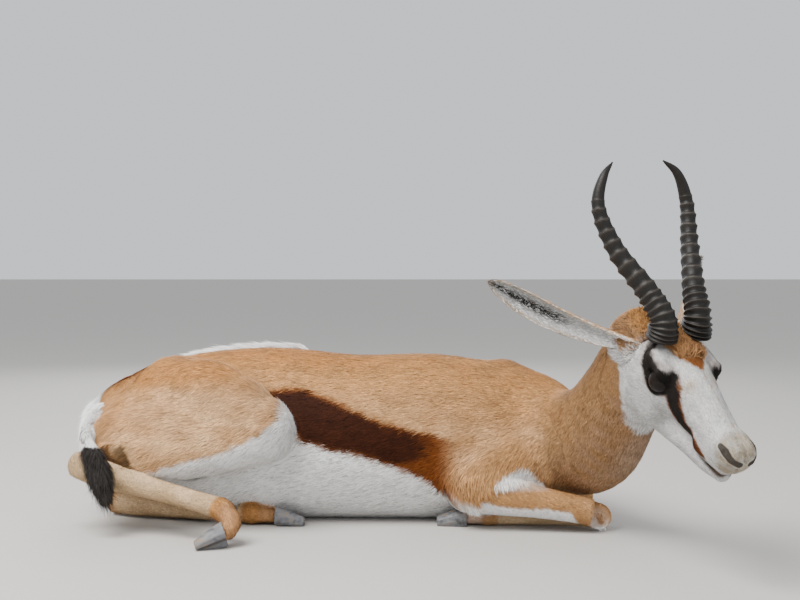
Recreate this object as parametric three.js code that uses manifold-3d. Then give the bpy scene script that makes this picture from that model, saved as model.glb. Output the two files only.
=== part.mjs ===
// Springbok ram at rest on the floor, life size, in millimetres.
// +X runs from rump to chest, +Y from the right flank to the left, +Z up.
// The body is a set of smooth swept forms that melt into each other. It is meshed
// once for each sub-part and parted by thin cuts, so neighbours meet with a small gap.
// Places are first given from a point on the floor under the middle of the body, then
// shifted so that the origin is the centre of the flat on which the belly rests.

import * as THREE from 'three';
import { mergeVertices } from 'three/addons/utils/BufferGeometryUtils.js';
import { LoftGeometry } from 'three/addons/geometries/LoftGeometry.js';
import Module from 'manifold-3d';

const wasm = await Module();
wasm.setup();

// Driving dimensions
const GAP = 0.6;
const FINEST_EDGE = 0.2;
const TOUCH = 0.01;
const WELD = 0.2;
const BELLY_FLAT_CENTRE = [ - 20.5, - 2.5 ];
const POLL = [ 340, - 355, 344 ];
const HEAD_TURN = { yaw: - 64, pitch: 38, roll: 5 };
const HEAD_LENGTH = 257;
const EYE_RADIUS = 17;
const HORN_BASE_RADIUS = 23;
const HORN_RINGS = 9;
const EAR_WIDTH = 46;
const HOOF_LENGTH = 46;
const HOOF_HEIGHT = 31;
const CLAW_WIDTH = 17;
const CLEFT = 2.4;
const SKIN_BLEND = 34;

const coats = {
	tan: { color: 0xb5834f, roughness: 0.85, metalness: 0 },
	pale: { color: 0xd9c3a0, roughness: 0.85, metalness: 0 },
	white: { color: 0xe9e6df, roughness: 0.85, metalness: 0 },
	black: { color: 0x2a2725, roughness: 0.8, metalness: 0 },
	horn: { color: 0x3b3632, roughness: 0.55, metalness: 0 },
	hoof: { color: 0x66686b, roughness: 0.5, metalness: 0 },
	eye: { color: 0x17110d, roughness: 0.1, metalness: 0 }
};

const rad = THREE.MathUtils.degToRad;
const vec = ( p ) => new THREE.Vector3( p[ 0 ], p[ 1 ], p[ 2 ] );

// Swept form
// Each station is x, y, z, half width, half depth and roll in degrees. The result gives
// the signed distance to a soft tube of oval section with rounded ends.
function sweep( stations, { steps = 18, cap = 1, up = [ 0, 0, 1 ], upEnd = up } = {} ) {

	const path = new THREE.CatmullRomCurve3( stations.map( vec ) );
	const extents = stations.map( ( s ) => new THREE.Vector3( s[ 3 ], s[ 4 ], s[ 5 ] || 0 ) );
	const size = new THREE.CatmullRomCurve3( extents, false, 'catmullrom', 0.5 );
	const rows = [];

	for ( let i = 0; i <= steps; i ++ ) {

		const t = i / steps;
		const along = path.getTangent( t );
		const extent = size.getPoint( t );
		const top = vec( up ).lerp( vec( upEnd ), t );
		top.addScaledVector( along, - top.dot( along ) ).normalize().applyAxisAngle( along, - rad( extent.z ) );
		const side = new THREE.Vector3().crossVectors( along, top );
		rows.push( { at: path.getPoint( t ), along, top, side, width: extent.x, depth: extent.y } );

	}

	return ( x, y, z ) => {

		let nearest = Infinity;
		let row = 0;
		let part = 0;

		for ( let i = 0; i < steps; i ++ ) {

			const a = rows[ i ].at;
			const b = rows[ i + 1 ].at;
			const ex = b.x - a.x, ey = b.y - a.y, ez = b.z - a.z;
			const run = ( x - a.x ) * ex + ( y - a.y ) * ey + ( z - a.z ) * ez;
			const share = run / ( ex * ex + ey * ey + ez * ez );
			const h = Math.min( 1, Math.max( 0, share ) );
			const dx = x - a.x - ex * h, dy = y - a.y - ey * h, dz = z - a.z - ez * h;
			const d = dx * dx + dy * dy + dz * dz;
			if ( d < nearest ) {

				nearest = d;
				row = i;
				part = h;

			}

		}

		const a = rows[ row ];
		const b = rows[ row + 1 ];
		const mix = ( p, q ) => p + ( q - p ) * part;
		const dx = x - mix( a.at.x, b.at.x );
		const dy = y - mix( a.at.y, b.at.y );
		const dz = z - mix( a.at.z, b.at.z );
		const dot = ( key ) => dx * mix( a[ key ].x, b[ key ].x ) + dy * mix( a[ key ].y, b[ key ].y )
			+ dz * mix( a[ key ].z, b[ key ].z );
		const width = mix( a.width, b.width );
		const depth = mix( a.depth, b.depth );
		const end = Math.min( width, depth ) * cap;
		const atEnd = ( row === 0 && part === 0 ) || ( row === steps - 1 && part === 1 );
		const u = dot( 'side' ), v = dot( 'top' ), w = atEnd ? dot( 'along' ) : 0;
		const k0 = Math.hypot( u / width, v / depth, w / end );
		const k1 = Math.hypot( u / width ** 2, v / depth ** 2, w / end ** 2 );
		return k1 > 1e-9 ? k0 * ( k0 - 1 ) / k1 : - end;

	};

}

// Soft union of two distances, rounded over the length k.
function soften( a, b, k ) {

	const h = Math.max( k - Math.abs( a - b ), 0 ) / k;
	return Math.min( a, b ) - h * h * k * 0.25;

}

// Soft union of several fields.
function blend( k, ...fields ) {

	return ( x, y, z ) => {

		let d = fields[ 0 ]( x, y, z );
		for ( let i = 1; i < fields.length; i ++ ) d = soften( d, fields[ i ]( x, y, z ), k );
		return d;

	};

}

// Field grown outwards by a distance.
const grown = ( field, by ) => ( x, y, z ) => field( x, y, z ) - by;

// Cells of a grid, from the low one up to but without the high one.
function* cells( low, high, step = 1 ) {

	for ( let k = low[ 2 ]; k < high[ 2 ]; k += step )
		for ( let j = low[ 1 ]; j < high[ 1 ]; j += step )
			for ( let i = low[ 0 ]; i < high[ 0 ]; i += step ) yield [ i, j, k ];

}

// Surface of a field as a closed mesh: one vertex per crossed cell, moved onto the surface,
// and one face across each crossed grid edge.
function surface( field, low, high, cell ) {

	const n = low.map( ( v, i ) => Math.ceil( ( high[ i ] - v ) / cell ) + 2 );
	const start = low.map( ( v ) => v - cell * 0.97 );
	const at = ( i, j, k ) => ( k * n[ 1 ] + j ) * n[ 0 ] + i;
	const value = new Float64Array( n[ 0 ] * n[ 1 ] * n[ 2 ] );
	const last = n.map( ( count ) => count - 1 );

	for ( const [ i, j, k ] of cells( [ 0, 0, 0 ], n ) ) {

		const rim = [ i, j, k ].some( ( c, axis ) => c === 0 || c === last[ axis ] );
		const d = field( start[ 0 ] + i * cell, start[ 1 ] + j * cell, start[ 2 ] + k * cell );
		value[ at( i, j, k ) ] = rim ? Math.max( d, cell * 0.1 ) : d || 1e-6;

	}

	const vertices = [];
	const cellVertex = new Int32Array( value.length ).fill( - 1 );

	for ( const [ i, j, k ] of cells( [ 0, 0, 0 ], last ) ) {

		let count = 0;
		const sum = [ 0, 0, 0 ];

		for ( let c = 0; c < 8; c ++ ) for ( let axis = 0; axis < 3; axis ++ ) {

			if ( c & ( 1 << axis ) ) continue;
			const p = [ i + ( c & 1 ), j + ( c >> 1 & 1 ), k + ( c >> 2 & 1 ) ];
			const q = p.slice();
			q[ axis ] ++;
			const a = value[ at( ...p ) ];
			const b = value[ at( ...q ) ];
			if ( a < 0 === b < 0 ) continue;
			p[ axis ] += a / ( a - b );
			for ( let s = 0; s < 3; s ++ ) sum[ s ] += p[ s ];
			count ++;

		}

		if ( count === 0 ) continue;
		const p = sum.map( ( s, axis ) => start[ axis ] + s / count * cell );
		const step = cell * 0.05;

		for ( let pass = 0; pass < 2; pass ++ ) {

			const d = field( ...p );
			const slope = [ 0, 1, 2 ].map( ( axis ) => {

				const q = p.slice();
				q[ axis ] += step;
				return ( field( ...q ) - d ) / step;

			} );
			const steep = slope.reduce( ( s, g ) => s + g * g, 1e-6 );
			const move = Math.min( cell * 0.3, Math.max( - cell * 0.3, d ) ) / Math.max( steep, 0.3 );
			slope.forEach( ( g, axis ) => p[ axis ] -= g * move );

		}

		cellVertex[ at( i, j, k ) ] = vertices.length / 3;
		vertices.push( ...p );

	}

	const index = [];

	for ( const [ i, j, k ] of cells( [ 1, 1, 1 ], last ) ) {

		for ( let axis = 0; axis < 3; axis ++ ) {

			const q = [ i, j, k ];
			q[ axis ] ++;
			const a = value[ at( i, j, k ) ];
			const b = value[ at( ...q ) ];
			if ( a < 0 === b < 0 ) continue;
			const u = [ 0, 0, 0 ], v = [ 0, 0, 0 ];
			u[ ( axis + 1 ) % 3 ] = 1;
			v[ ( axis + 2 ) % 3 ] = 1;
			const around = [ [ 1, 1 ], [ 0, 1 ], [ 0, 0 ], [ 1, 0 ] ].map( ( [ s, t ] ) => {

				const c = [ i, j, k ].map( ( place, side ) => place - u[ side ] * s - v[ side ] * t );
				return cellVertex[ at( ...c ) ];

			} );
			if ( a > 0 ) around.reverse();
			index.push( around[ 0 ], around[ 1 ], around[ 2 ], around[ 0 ], around[ 2 ], around[ 3 ] );

		}

	}

	const geometry = new THREE.BufferGeometry();
	geometry.setAttribute( 'position', new THREE.Float32BufferAttribute( vertices, 3 ) );
	geometry.setIndex( index );
	return geometry;

}

// Copy of a mesh with positions only, and shared vertices merged.
function welded( geometry ) {

	const bare = new THREE.BufferGeometry().copy( geometry );
	for ( const key of Object.keys( bare.attributes ) ) if ( key !== 'position' ) bare.deleteAttribute( key );
	return mergeVertices( bare, 1e-3 );

}

// Closed mesh to solid.
function solid( geometry ) {

	const merged = welded( geometry );
	return new wasm.Manifold( new wasm.Mesh( {
		numProp: 3,
		vertProperties: new Float32Array( merged.attributes.position.array ),
		triVerts: new Uint32Array( merged.index.array )
	} ) );

}

// One vertex of a mesh moved along its normal.
function shiftPoint( geometry, i, by ) {

	const place = new THREE.Vector3().fromBufferAttribute( geometry.attributes.position, i );
	const normal = new THREE.Vector3().fromBufferAttribute( geometry.attributes.normal, i );
	place.addScaledVector( normal, by );
	geometry.attributes.position.setXYZ( i, place.x, place.y, place.z );

}

// Mesh with every vertex moved outwards by a distance.
function swollen( geometry, by ) {

	const merged = welded( geometry );
	merged.computeVertexNormals();
	for ( let i = 0; i < merged.attributes.position.count; i ++ ) shiftPoint( merged, i, by );
	return merged;

}

// Solid back to a mesh. Slivers shorter than the finest edge are closed up, the largest piece is
// kept, and points of it that fall on each other are drawn back into the solid.
function geometryOf( body ) {

	const pieces = body.decompose().sort( ( a, b ) => b.volume() - a.volume() );
	const mesh = pieces[ 0 ].simplify( FINEST_EDGE ).getMesh();
	const geometry = new THREE.BufferGeometry();
	geometry.setAttribute( 'position', new THREE.Float32BufferAttribute( mesh.vertProperties, mesh.numProp ) );
	geometry.setIndex( Array.from( mesh.triVerts ) );
	geometry.computeVertexNormals();
	const p = geometry.attributes.position;
	const places = new Map();

	for ( let i = 0; i < p.count; i ++ ) {

		const key = [ p.getX( i ), p.getY( i ), p.getZ( i ) ].map( ( v ) => Math.round( v / TOUCH ) ).join();
		places.set( key, [ ...places.get( key ) || [], i ] );

	}

	for ( const shared of places.values() ) if ( shared.length > 1 ) {

		for ( const i of shared ) shiftPoint( geometry, i, - WELD );

	}

	geometry.deleteAttribute( 'normal' );
	return geometry;

}

// Head frame: x from poll to nose, y to the left cheek, z towards the forehead.
const { yaw, pitch, roll } = HEAD_TURN;
const headTurn = new THREE.Euler( rad( roll ), rad( pitch ), rad( yaw ), 'ZYX' );
const headFrame = new THREE.Matrix4().makeRotationFromEuler( headTurn ).setPosition( ...POLL );
const headInverse = headFrame.clone().invert();
const fromHead = ( p ) => vec( p ).applyMatrix4( headFrame );

// Field given in the head frame, read in the body frame.
function inHead( field ) {

	const e = headInverse.elements;
	return ( x, y, z ) => field(
		e[ 0 ] * x + e[ 4 ] * y + e[ 8 ] * z + e[ 12 ],
		e[ 1 ] * x + e[ 5 ] * y + e[ 9 ] * z + e[ 13 ],
		e[ 2 ] * x + e[ 6 ] * y + e[ 10 ] * z + e[ 14 ] );

}

// Trunk station from the heights of belly and back, with the roll of the body there.
function trunkStation( x, y, belly, back, halfWidth, roll ) {

	const lean = rad( roll );
	const halfHeight = ( back - belly ) / 2;
	const depth = Math.sqrt( halfHeight ** 2 - ( halfWidth * Math.sin( lean ) ) ** 2 ) / Math.cos( lean );
	return [ x, y, belly + halfHeight, halfWidth, depth, roll ];

}

// Trunk, from rump to the front of the chest
const trunkForm = sweep( [
	trunkStation( - 440, 0, 62, 214, 70, 30 ),
	trunkStation( - 360, 4, 22, 258, 104, 30 ),
	trunkStation( - 225, 4, 2, 273, 110, 26 ),
	trunkStation( - 75, 0, - 3, 262, 118, 22 ),
	trunkStation( 60, - 4, - 3, 263, 116, 20 ),
	trunkStation( 155, - 12, - 2, 246, 106, 16 ),
	trunkStation( 215, - 20, 12, 222, 88, 12 )
], { steps: 24 } );

// Neck, from the chest up to the back of the head
const neckForm = sweep( [
	[ 205, 20, 150, 62, 88 ],
	[ 262, - 60, 128, 58, 88 ],
	[ 298, - 150, 148, 54, 80 ],
	[ 318, - 240, 208, 48, 68 ],
	[ 336, - 318, 282, 44, 58 ]
], { up: [ - 0.5, 0.3, 0.8 ], upEnd: [ - 0.5, 0.6, 0.6 ] } );

// Head: skull with muzzle, lower jaw, and cheeks, brows, nose and lips in pairs
const skullForm = sweep( [
	[ 2, 0, - 44, 38, 42 ],
	[ 38, 0, - 42, 44, 52 ],
	[ 84, 0, - 38, 47, 52 ],
	[ 124, 0, - 33, 38, 42 ],
	[ 168, 0, - 33, 29, 33 ],
	[ 212, 0, - 35, 24, 27 ],
	[ HEAD_LENGTH - 22, 0, - 34, 23, 22 ]
], { steps: 20 } );
const jawForm = sweep( [
	[ 64, 0, - 90, 32, 30 ],
	[ 110, 0, - 91, 26, 24 ],
	[ 165, 0, - 83, 19, 18 ],
	[ 206, 0, - 78, 15, 15 ],
	[ 232, 0, - 73, 12, 10 ]
] );
const paired = [
	[ [ 60, 24, - 70, 18, 42 ], [ 108, 24, - 66, 15, 32 ] ],
	[ [ 82, 36, - 6, 12, 10 ], [ 110, 41, - 9, 11, 9 ] ],
	[ [ 226, 11, - 24, 11, 11 ], [ 244, 8, - 24, 9, 12 ] ],
	[ [ 196, 15, - 54, 10, 10 ], [ 236, 8, - 50, 9, 11 ] ]
];
const mirrored = ( stations, side ) => stations.map( ( [ x, y, ...rest ] ) => [ x, side * y, ...rest ] );
const onSide = ( stations, side ) => sweep( mirrored( stations, side ), { steps: 4 } );
const pairedForms = paired.flatMap( ( stations ) => [ onSide( stations, 1 ), onSide( stations, - 1 ) ] );
const headForm = inHead( blend( 16, skullForm, jawForm, ...pairedForms ) );

// Legs. Each limb is a list of stations, and the two sides differ in pose.
const rightFore = {
	shoulder: sweep( [
		[ 150, 6, 205, 30, 55 ], [ 205, - 50, 150, 34, 66 ],
		[ 228, - 72, 112, 38, 56 ]
	], { up: [ 1, 0, 0 ] } ),
	upper: sweep( [ [ 226, - 78, 112, 46, 46 ], [ 165, - 108, 86, 42, 46 ], [ 112, - 120, 64, 33, 38 ] ] ),
	forearm: sweep( [
		[ 104, - 118, 62, 30, 36 ], [ 150, - 130, 56, 28, 34 ], [ 220, - 142, 44, 22, 25 ],
		[ 290, - 150, 32, 20, 21 ], [ 308, - 150, 27, 19, 21 ]
	] ),
	cannon: sweep( [
		[ 306, - 132, 20, 17, 18 ], [ 262, - 108, 15, 12, 14 ],
		[ 180, - 98, 13, 11, 13 ], [ 142, - 96, 14, 13, 14 ]
	] ),
	pastern: sweep( [ [ 140, - 96, 14, 13, 13 ], [ 110, - 96, 13, 12, 12 ] ], { steps: 6 } )
};
const leftFore = {
	shoulder: sweep( [
		[ 150, 50, 200, 28, 55 ], [ 205, 66, 140, 34, 62 ],
		[ 226, 70, 105, 36, 52 ]
	], { up: [ 1, 0, 0 ] } ),
	upper: sweep( [ [ 224, 72, 104, 42, 42 ], [ 165, 88, 78, 38, 42 ], [ 112, 90, 58, 30, 36 ] ] ),
	forearm: sweep( [
		[ 106, 88, 54, 28, 34 ], [ 160, 80, 48, 25, 30 ], [ 230, 62, 38, 21, 24 ],
		[ 292, 42, 26, 19, 20 ], [ 308, 36, 23, 18, 20 ]
	] ),
	cannon: sweep( [
		[ 312, 62, 20, 16, 18 ], [ 270, 96, 15, 12, 14 ],
		[ 190, 122, 13, 11, 13 ], [ 152, 130, 14, 13, 14 ]
	] ),
	pastern: sweep( [ [ 150, 130, 14, 13, 13 ], [ 120, 134, 13, 12, 12 ] ], { steps: 6 } )
};
const rightHind = {
	thigh: sweep( [
		[ - 372, - 42, 177, 50, 77 ], [ - 300, - 88, 176, 50, 84 ],
		[ - 236, - 122, 168, 42, 62 ], [ - 208, - 134, 160, 34, 44 ]
	] ),
	ham: sweep( [
		[ - 440, - 20, 140, 42, 62 ], [ - 390, - 78, 136, 44, 58 ],
		[ - 330, - 116, 132, 40, 52 ]
	] ),
	shank: sweep( [
		[ - 204, - 136, 152, 34, 38 ], [ - 280, - 142, 128, 34, 36 ], [ - 370, - 142, 113, 27, 32 ],
		[ - 448, - 134, 104, 19, 27 ], [ - 496, - 130, 101, 13, 19 ]
	] ),
	cannon: sweep( [
		[ - 500, - 130, 100, 14, 19 ], [ - 458, - 140, 88, 20, 24 ], [ - 400, - 162, 76, 16, 19 ],
		[ - 320, - 198, 62, 14, 16 ], [ - 268, - 222, 52, 15, 17 ]
	] ),
	pastern: sweep( [
		[ - 258, - 228, 48, 17, 18 ], [ - 246, - 238, 34, 15, 15 ],
		[ - 250, - 246, 24, 15, 14 ]
	], { steps: 8 } )
};
const leftHind = {
	thigh: sweep( [ [ - 372, 60, 120, 46, 76 ], [ - 300, 52, 84, 46, 66 ], [ - 232, 40, 52, 38, 46 ] ] ),
	ham: sweep( [ [ - 430, 30, 112, 42, 52 ], [ - 380, 22, 80, 40, 50 ], [ - 330, 14, 62, 36, 44 ] ] ),
	shank: sweep( [
		[ - 226, 30, 42, 32, 34 ], [ - 300, 4, 34, 30, 30 ], [ - 380, - 12, 28, 22, 24 ],
		[ - 440, - 14, 24, 16, 20 ], [ - 466, - 12, 22, 13, 18 ]
	] ),
	cannon: sweep( [
		[ - 466, - 14, 21, 13, 18 ], [ - 430, - 34, 21, 16, 19 ], [ - 360, - 58, 18, 13, 15 ],
		[ - 270, - 84, 17, 12, 14 ], [ - 236, - 92, 18, 14, 15 ]
	] ),
	pastern: sweep( [ [ - 234, - 92, 18, 14, 15 ], [ - 202, - 94, 15, 12, 12 ] ], { steps: 6 } )
};

// Croup, from the hip to the root of the tail
const croupForm = sweep( [
	[ - 445, - 4, 178, 40, 36 ],
	[ - 420, - 6, 192, 46, 40 ],
	[ - 372, - 16, 205, 50, 44 ]
] );

const trunkMass = blend( SKIN_BLEND, trunkForm, croupForm, neckForm, rightFore.shoulder, leftFore.shoulder,
	rightFore.upper, leftFore.upper, rightHind.thigh, leftHind.thigh, rightHind.ham, leftHind.ham );

// Closed loft through rings of points
function loft( rings ) {

	return new LoftGeometry( rings, { capStart: true, capEnd: true } );

}

// Ring of points in a plane given by two directions, winding about their cross product.
function ring( centre, a, b, halfA, halfB, count ) {

	return Array.from( { length: count }, ( _, i ) => {

		const angle = i / count * Math.PI * 2;
		return centre.clone()
			.addScaledVector( a, Math.cos( angle ) * halfA )
			.addScaledVector( b, Math.sin( angle ) * halfB );

	} );

}

// Horn: ringed for two thirds of its length, then smooth to a hooked tip
function horn( side ) {

	const lyre = [
		[ 68, 26, 14 ], [ 58, 27, 38 ], [ 22, 36, 56 ], [ - 44, 60, 82 ],
		[ - 94, 71, 118 ], [ - 118, 59, 147 ], [ - 133, 41, 158 ]
	];
	const path = new THREE.CatmullRomCurve3( lyre.map( ( [ x, y, z ] ) => fromHead( [ x, side * y, z ] ) ) );
	const smoothRows = 7;
	const rows = HORN_RINGS * 2 + smoothRows;
	const ringed = 0.7;
	const rings = [];

	for ( let i = 0; i <= rows; i ++ ) {

		const over = Math.max( 0, i - HORN_RINGS * 2 ) / smoothRows;
		const t = Math.min( i / ( HORN_RINGS * 2 ), 1 ) * ringed + over * ( 1 - ringed );
		const along = path.getTangent( t );
		const b = new THREE.Vector3( 0, side, 0 ).transformDirection( headFrame );
		b.addScaledVector( along, - b.dot( along ) ).normalize();
		const a = new THREE.Vector3().crossVectors( b, along ).normalize();
		const taper = HORN_BASE_RADIUS * Math.max( 0.09, Math.max( 0, 1 - t ) ** 0.62 * ( 1 - 0.12 * t ) );
		const ridge = t < ringed && i > 1 && i % 2 ? 1.05 : 0.97;
		rings.push( ring( path.getPoint( t ), a, b, taper * ridge, taper * ridge * 0.84, 9 ) );

	}

	return loft( rings );

}

// Ear: a long pointed leaf, hollow on the inner face
function ear( base, middle, tip, open ) {

	const path = new THREE.QuadraticBezierCurve3( vec( base ), vec( middle ), vec( tip ) );
	const rings = [];

	for ( let i = 0; i <= 8; i ++ ) {

		const t = i / 8;
		const along = path.getTangent( t );
		const front = vec( open );
		front.addScaledVector( along, - front.dot( along ) ).normalize();
		const across = new THREE.Vector3().crossVectors( along, front );
		const leaf = ( 0.62 + 1.5 * t - 0.9 * t * t ) * Math.sqrt( 1 - t ** 3.2 ) * 0.9;
		const half = EAR_WIDTH / 2 * Math.max( 0.07, leaf );
		const curl = 0.95 - 0.35 * t;
		const thick = Math.max( 1.6, 5 * ( 1 - t * 0.7 ) );
		const outer = [], inner = [];

		for ( let j = 0; j <= 5; j ++ ) {

			const a = ( j / 5 - 0.5 ) * Math.PI * curl;
			const reach = half / Math.sin( Math.PI * 0.5 * curl );
			const wall = ( j === 0 || j === 5 ) ? thick * 0.5 : thick;
			const back = path.getPoint( t )
				.addScaledVector( across, Math.sin( a ) * reach )
				.addScaledVector( front, reach * ( 0.35 - 0.8 * Math.cos( a ) ) );
			outer.push( back );
			inner.unshift( back.clone()
				.addScaledVector( across, - Math.sin( a ) * wall * 0.4 )
				.addScaledVector( front, wall ) );

		}

		rings.push( [ ...outer, ...inner ].reverse() );

	}

	return loft( rings );

}

// Foot: two claws side by side, from the coronet to the blunt toes
function claw( coronet, toe, sole, side ) {

	const start = vec( coronet );
	const along = vec( toe ).sub( start ).normalize();
	const down = vec( sole );
	down.addScaledVector( along, - down.dot( along ) ).normalize();
	const across = new THREE.Vector3().crossVectors( along, down );
	const rings = [];

	for ( let i = 0; i <= 4; i ++ ) {

		const t = i / 4;
		const height = HOOF_HEIGHT / 2 * ( 1 - 0.5 * t );
		const half = CLAW_WIDTH / 2 * ( 1 - 0.4 * t * t );
		const centre = start.clone()
			.addScaledVector( along, HOOF_LENGTH * t )
			.addScaledVector( across, side * ( half + CLEFT / 2 ) )
			.addScaledVector( down, HOOF_HEIGHT / 2 - height );
		rings.push( ring( centre, down, across, height, half, 8 ) );

	}

	return loft( rings );

}

// Eye set into its socket
function eye( side ) {

	const ball = new THREE.SphereGeometry( EYE_RADIUS, 10, 6 );
	const centre = fromHead( [ 105, side * 34, - 24 ] );
	ball.translate( centre.x, centre.y, centre.z );
	return ball;

}

// Pieces with a shape of their own
const set = new Map();
set.set( 'horn_right', [ horn( - 1 ), 'horn' ] );
set.set( 'horn_left', [ horn( 1 ), 'horn' ] );
set.set( 'eye_right', [ eye( - 1 ), 'eye' ] );
set.set( 'eye_left', [ eye( 1 ), 'eye' ] );
const earRoot = ( side ) => fromHead( [ 20, side * 42, - 30 ] ).toArray();
const earRight = ear( earRoot( - 1 ), [ 207, - 255, 330 ], [ 130, - 250, 385 ], [ - 0.1, - 0.86, - 0.5 ] );
const earLeft = ear( earRoot( 1 ), [ 430, - 262, 372 ], [ 451, - 196, 420 ], [ 0.85, - 0.5, - 0.1 ] );
set.set( 'ear_right', [ earRight, 'tan' ] );
set.set( 'ear_left', [ earLeft, 'tan' ] );

const feet = {
	fore_right: [ [ 104, - 96, 14 ], [ 52, - 96, 12 ], [ 0, 0.1, - 1 ] ],
	fore_left: [ [ 114, 135, 14 ], [ 62, 140, 12 ], [ 0, 0.1, - 1 ] ],
	hind_right: [ [ - 254, - 250, 20 ], [ - 300, - 262, 6 ], [ 0.1, - 0.75, - 0.65 ] ],
	hind_left: [ [ - 196, - 95, 15 ], [ - 144, - 97, 12 ], [ 0, - 0.3, - 1 ] ]
};

for ( const [ leg, [ coronet, toe, sole ] ] of Object.entries( feet ) ) {

	set.set( `hoof_${ leg }_inner`, [ claw( coronet, toe, sole, 1 ), 'hoof' ] );
	set.set( `hoof_${ leg }_outer`, [ claw( coronet, toe, sole, - 1 ), 'hoof' ] );

}

// Tail, round the rump and down over the hock, and its hanging tuft
const tailForm = sweep( [
	[ - 452, 30, 196, 13, 15 ],
	[ - 486, - 10, 186, 12, 14 ],
	[ - 494, - 70, 158, 11, 12 ],
	[ - 486, - 128, 146, 11, 11 ]
] );
const tuftForm = sweep( [
	[ - 480, - 140, 145, 13, 10 ],
	[ - 463, - 176, 124, 19, 10 ],
	[ - 449, - 190, 92, 24, 11 ],
	[ - 440, - 194, 62, 18, 9 ],
	[ - 434, - 194, 44, 9, 7 ]
], { up: [ 0, - 1, 0 ] } );

// Sub-parts of the body, from the ends of the limbs inwards. Each has the field that shapes
// it, the field of the space that it takes (the trunk takes all that is left), a cell size
// and a coat.
const ROOM = 10;
const POLL_SLANT = 0.42;
const behindPoll = inHead( ( x, y, z ) => - ( x + 14 + z * POLL_SLANT ) / Math.hypot( 1, POLL_SLANT ) );
const neckSpace = sweep( [
	[ 286, - 104, 132, 92, 120 ],
	[ 304, - 170, 160, 86, 108 ],
	[ 318, - 240, 208, 78, 100 ],
	[ 336, - 330, 290, 72, 94 ]
], { cap: 0.25, up: [ - 0.5, 0.3, 0.8 ], upEnd: [ - 0.5, 0.6, 0.6 ] } );
const headSpace = ( x, y, z ) => Math.max( headForm( x, y, z ) - 16, behindPoll( x, y, z ) );
const parts = [
	[ 'tail_tuft', tuftForm, grown( tuftForm, 8 ), 14, 'black' ],
	[ 'tail', blend( 10, tailForm, trunkForm, tuftForm ), grown( tailForm, 10 ), 12.5, 'white' ],
	[ 'pastern_hind_right', blend( 8, rightHind.pastern, rightHind.cannon ),
		grown( rightHind.pastern, ROOM ), 14, 'pale' ],
	[ 'cannon_hind_right', blend( 14, rightHind.pastern, rightHind.cannon ),
		grown( rightHind.cannon, ROOM ), 17, 'pale' ],
	[ 'shank_hind_right', blend( 20, rightHind.shank, rightHind.thigh, rightHind.ham ),
		grown( rightHind.shank, ROOM ), 27, 'tan' ],
	[ 'pastern_hind_left', blend( 8, leftHind.pastern, leftHind.cannon ),
		grown( leftHind.pastern, ROOM ), 14, 'pale' ],
	[ 'cannon_hind_left', blend( 14, leftHind.pastern, leftHind.cannon ),
		grown( leftHind.cannon, 8 ), 19, 'pale' ],
	[ 'shank_hind_left', blend( 20, leftHind.shank, leftHind.thigh, leftHind.ham ),
		grown( leftHind.shank, 8 ), 30, 'tan' ],
	[ 'pastern_fore_right', blend( 8, rightFore.pastern, rightFore.cannon ),
		grown( rightFore.pastern, 6 ), 13, 'pale' ],
	[ 'cannon_fore_right', blend( 10, rightFore.pastern, rightFore.cannon ),
		grown( rightFore.cannon, 6 ), 15.5, 'pale' ],
	[ 'forearm_right', blend( 20, rightFore.forearm, rightFore.upper ),
		grown( rightFore.forearm, ROOM ), 21, 'tan' ],
	[ 'pastern_fore_left', blend( 8, leftFore.pastern, leftFore.cannon ),
		grown( leftFore.pastern, 6 ), 13, 'pale' ],
	[ 'cannon_fore_left', blend( 10, leftFore.pastern, leftFore.cannon ),
		grown( leftFore.cannon, 6 ), 14.5, 'pale' ],
	[ 'forearm_left', blend( 20, leftFore.forearm, leftFore.upper ),
		grown( leftFore.forearm, ROOM ), 20.5, 'tan' ],
	[ 'head', blend( 24, headForm, neckForm ), headSpace, 15, 'white' ],
	[ 'neck', blend( 24, trunkMass, headForm ), neckSpace, 33, 'tan' ],
	[ 'upper_arm_right', trunkMass, grown( rightFore.upper, 14 ), 34, 'tan' ],
	[ 'upper_arm_left', trunkMass, grown( leftFore.upper, 14 ), 36, 'tan' ],
	[ 'thigh_right', trunkMass, grown( rightHind.thigh, 16 ), 40, 'tan' ],
	[ 'thigh_left', trunkMass, grown( leftHind.thigh, 16 ), 42, 'tan' ],
	[ 'trunk', trunkMass, null, 54, 'tan' ]
];

// Space around a field, found on a coarse grid
const SEARCH_LOW = [ - 560, - 640, - 60 ];
const SEARCH_HIGH = [ 561, 241, 601 ];
function boxOf( field ) {

	const low = [ Infinity, Infinity, Infinity ];
	const high = [ - Infinity, - Infinity, - Infinity ];
	const pitch = 26;

	for ( const place of cells( SEARCH_LOW, SEARCH_HIGH, pitch ) ) {

		if ( field( ...place ) > pitch ) continue;
		place.forEach( ( v, i ) => {

			low[ i ] = Math.min( low[ i ], v );
			high[ i ] = Math.max( high[ i ], v );

		} );

	}

	return [ low.map( ( v ) => v - pitch ), high.map( ( v ) => v + pitch ) ];

}

const floorBox = new THREE.BoxGeometry( 2400, 2400, 400 );
floorBox.translate( 0, 0, - 200 );
const floor = solid( floorBox );

const springbok = new THREE.Group();

function addPart( name, geometry, coat ) {

	const mesh = new THREE.Mesh( geometry, new THREE.MeshStandardMaterial( coats[ coat ] ) );
	mesh.name = name;
	mesh.position.set( - BELLY_FLAT_CENTRE[ 0 ], - BELLY_FLAT_CENTRE[ 1 ], 0 );
	springbok.add( mesh );

}

// Every piece is cut by those set before it. Thin parts take a finer space.
const THIN = 20;
const taken = [];
for ( const [ name, [ geometry, coat ] ] of set ) {

	addPart( name, geometryOf( solid( geometry ).subtract( floor ) ), coat );
	taken.push( solid( swollen( geometry, GAP ) ) );

}

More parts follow.
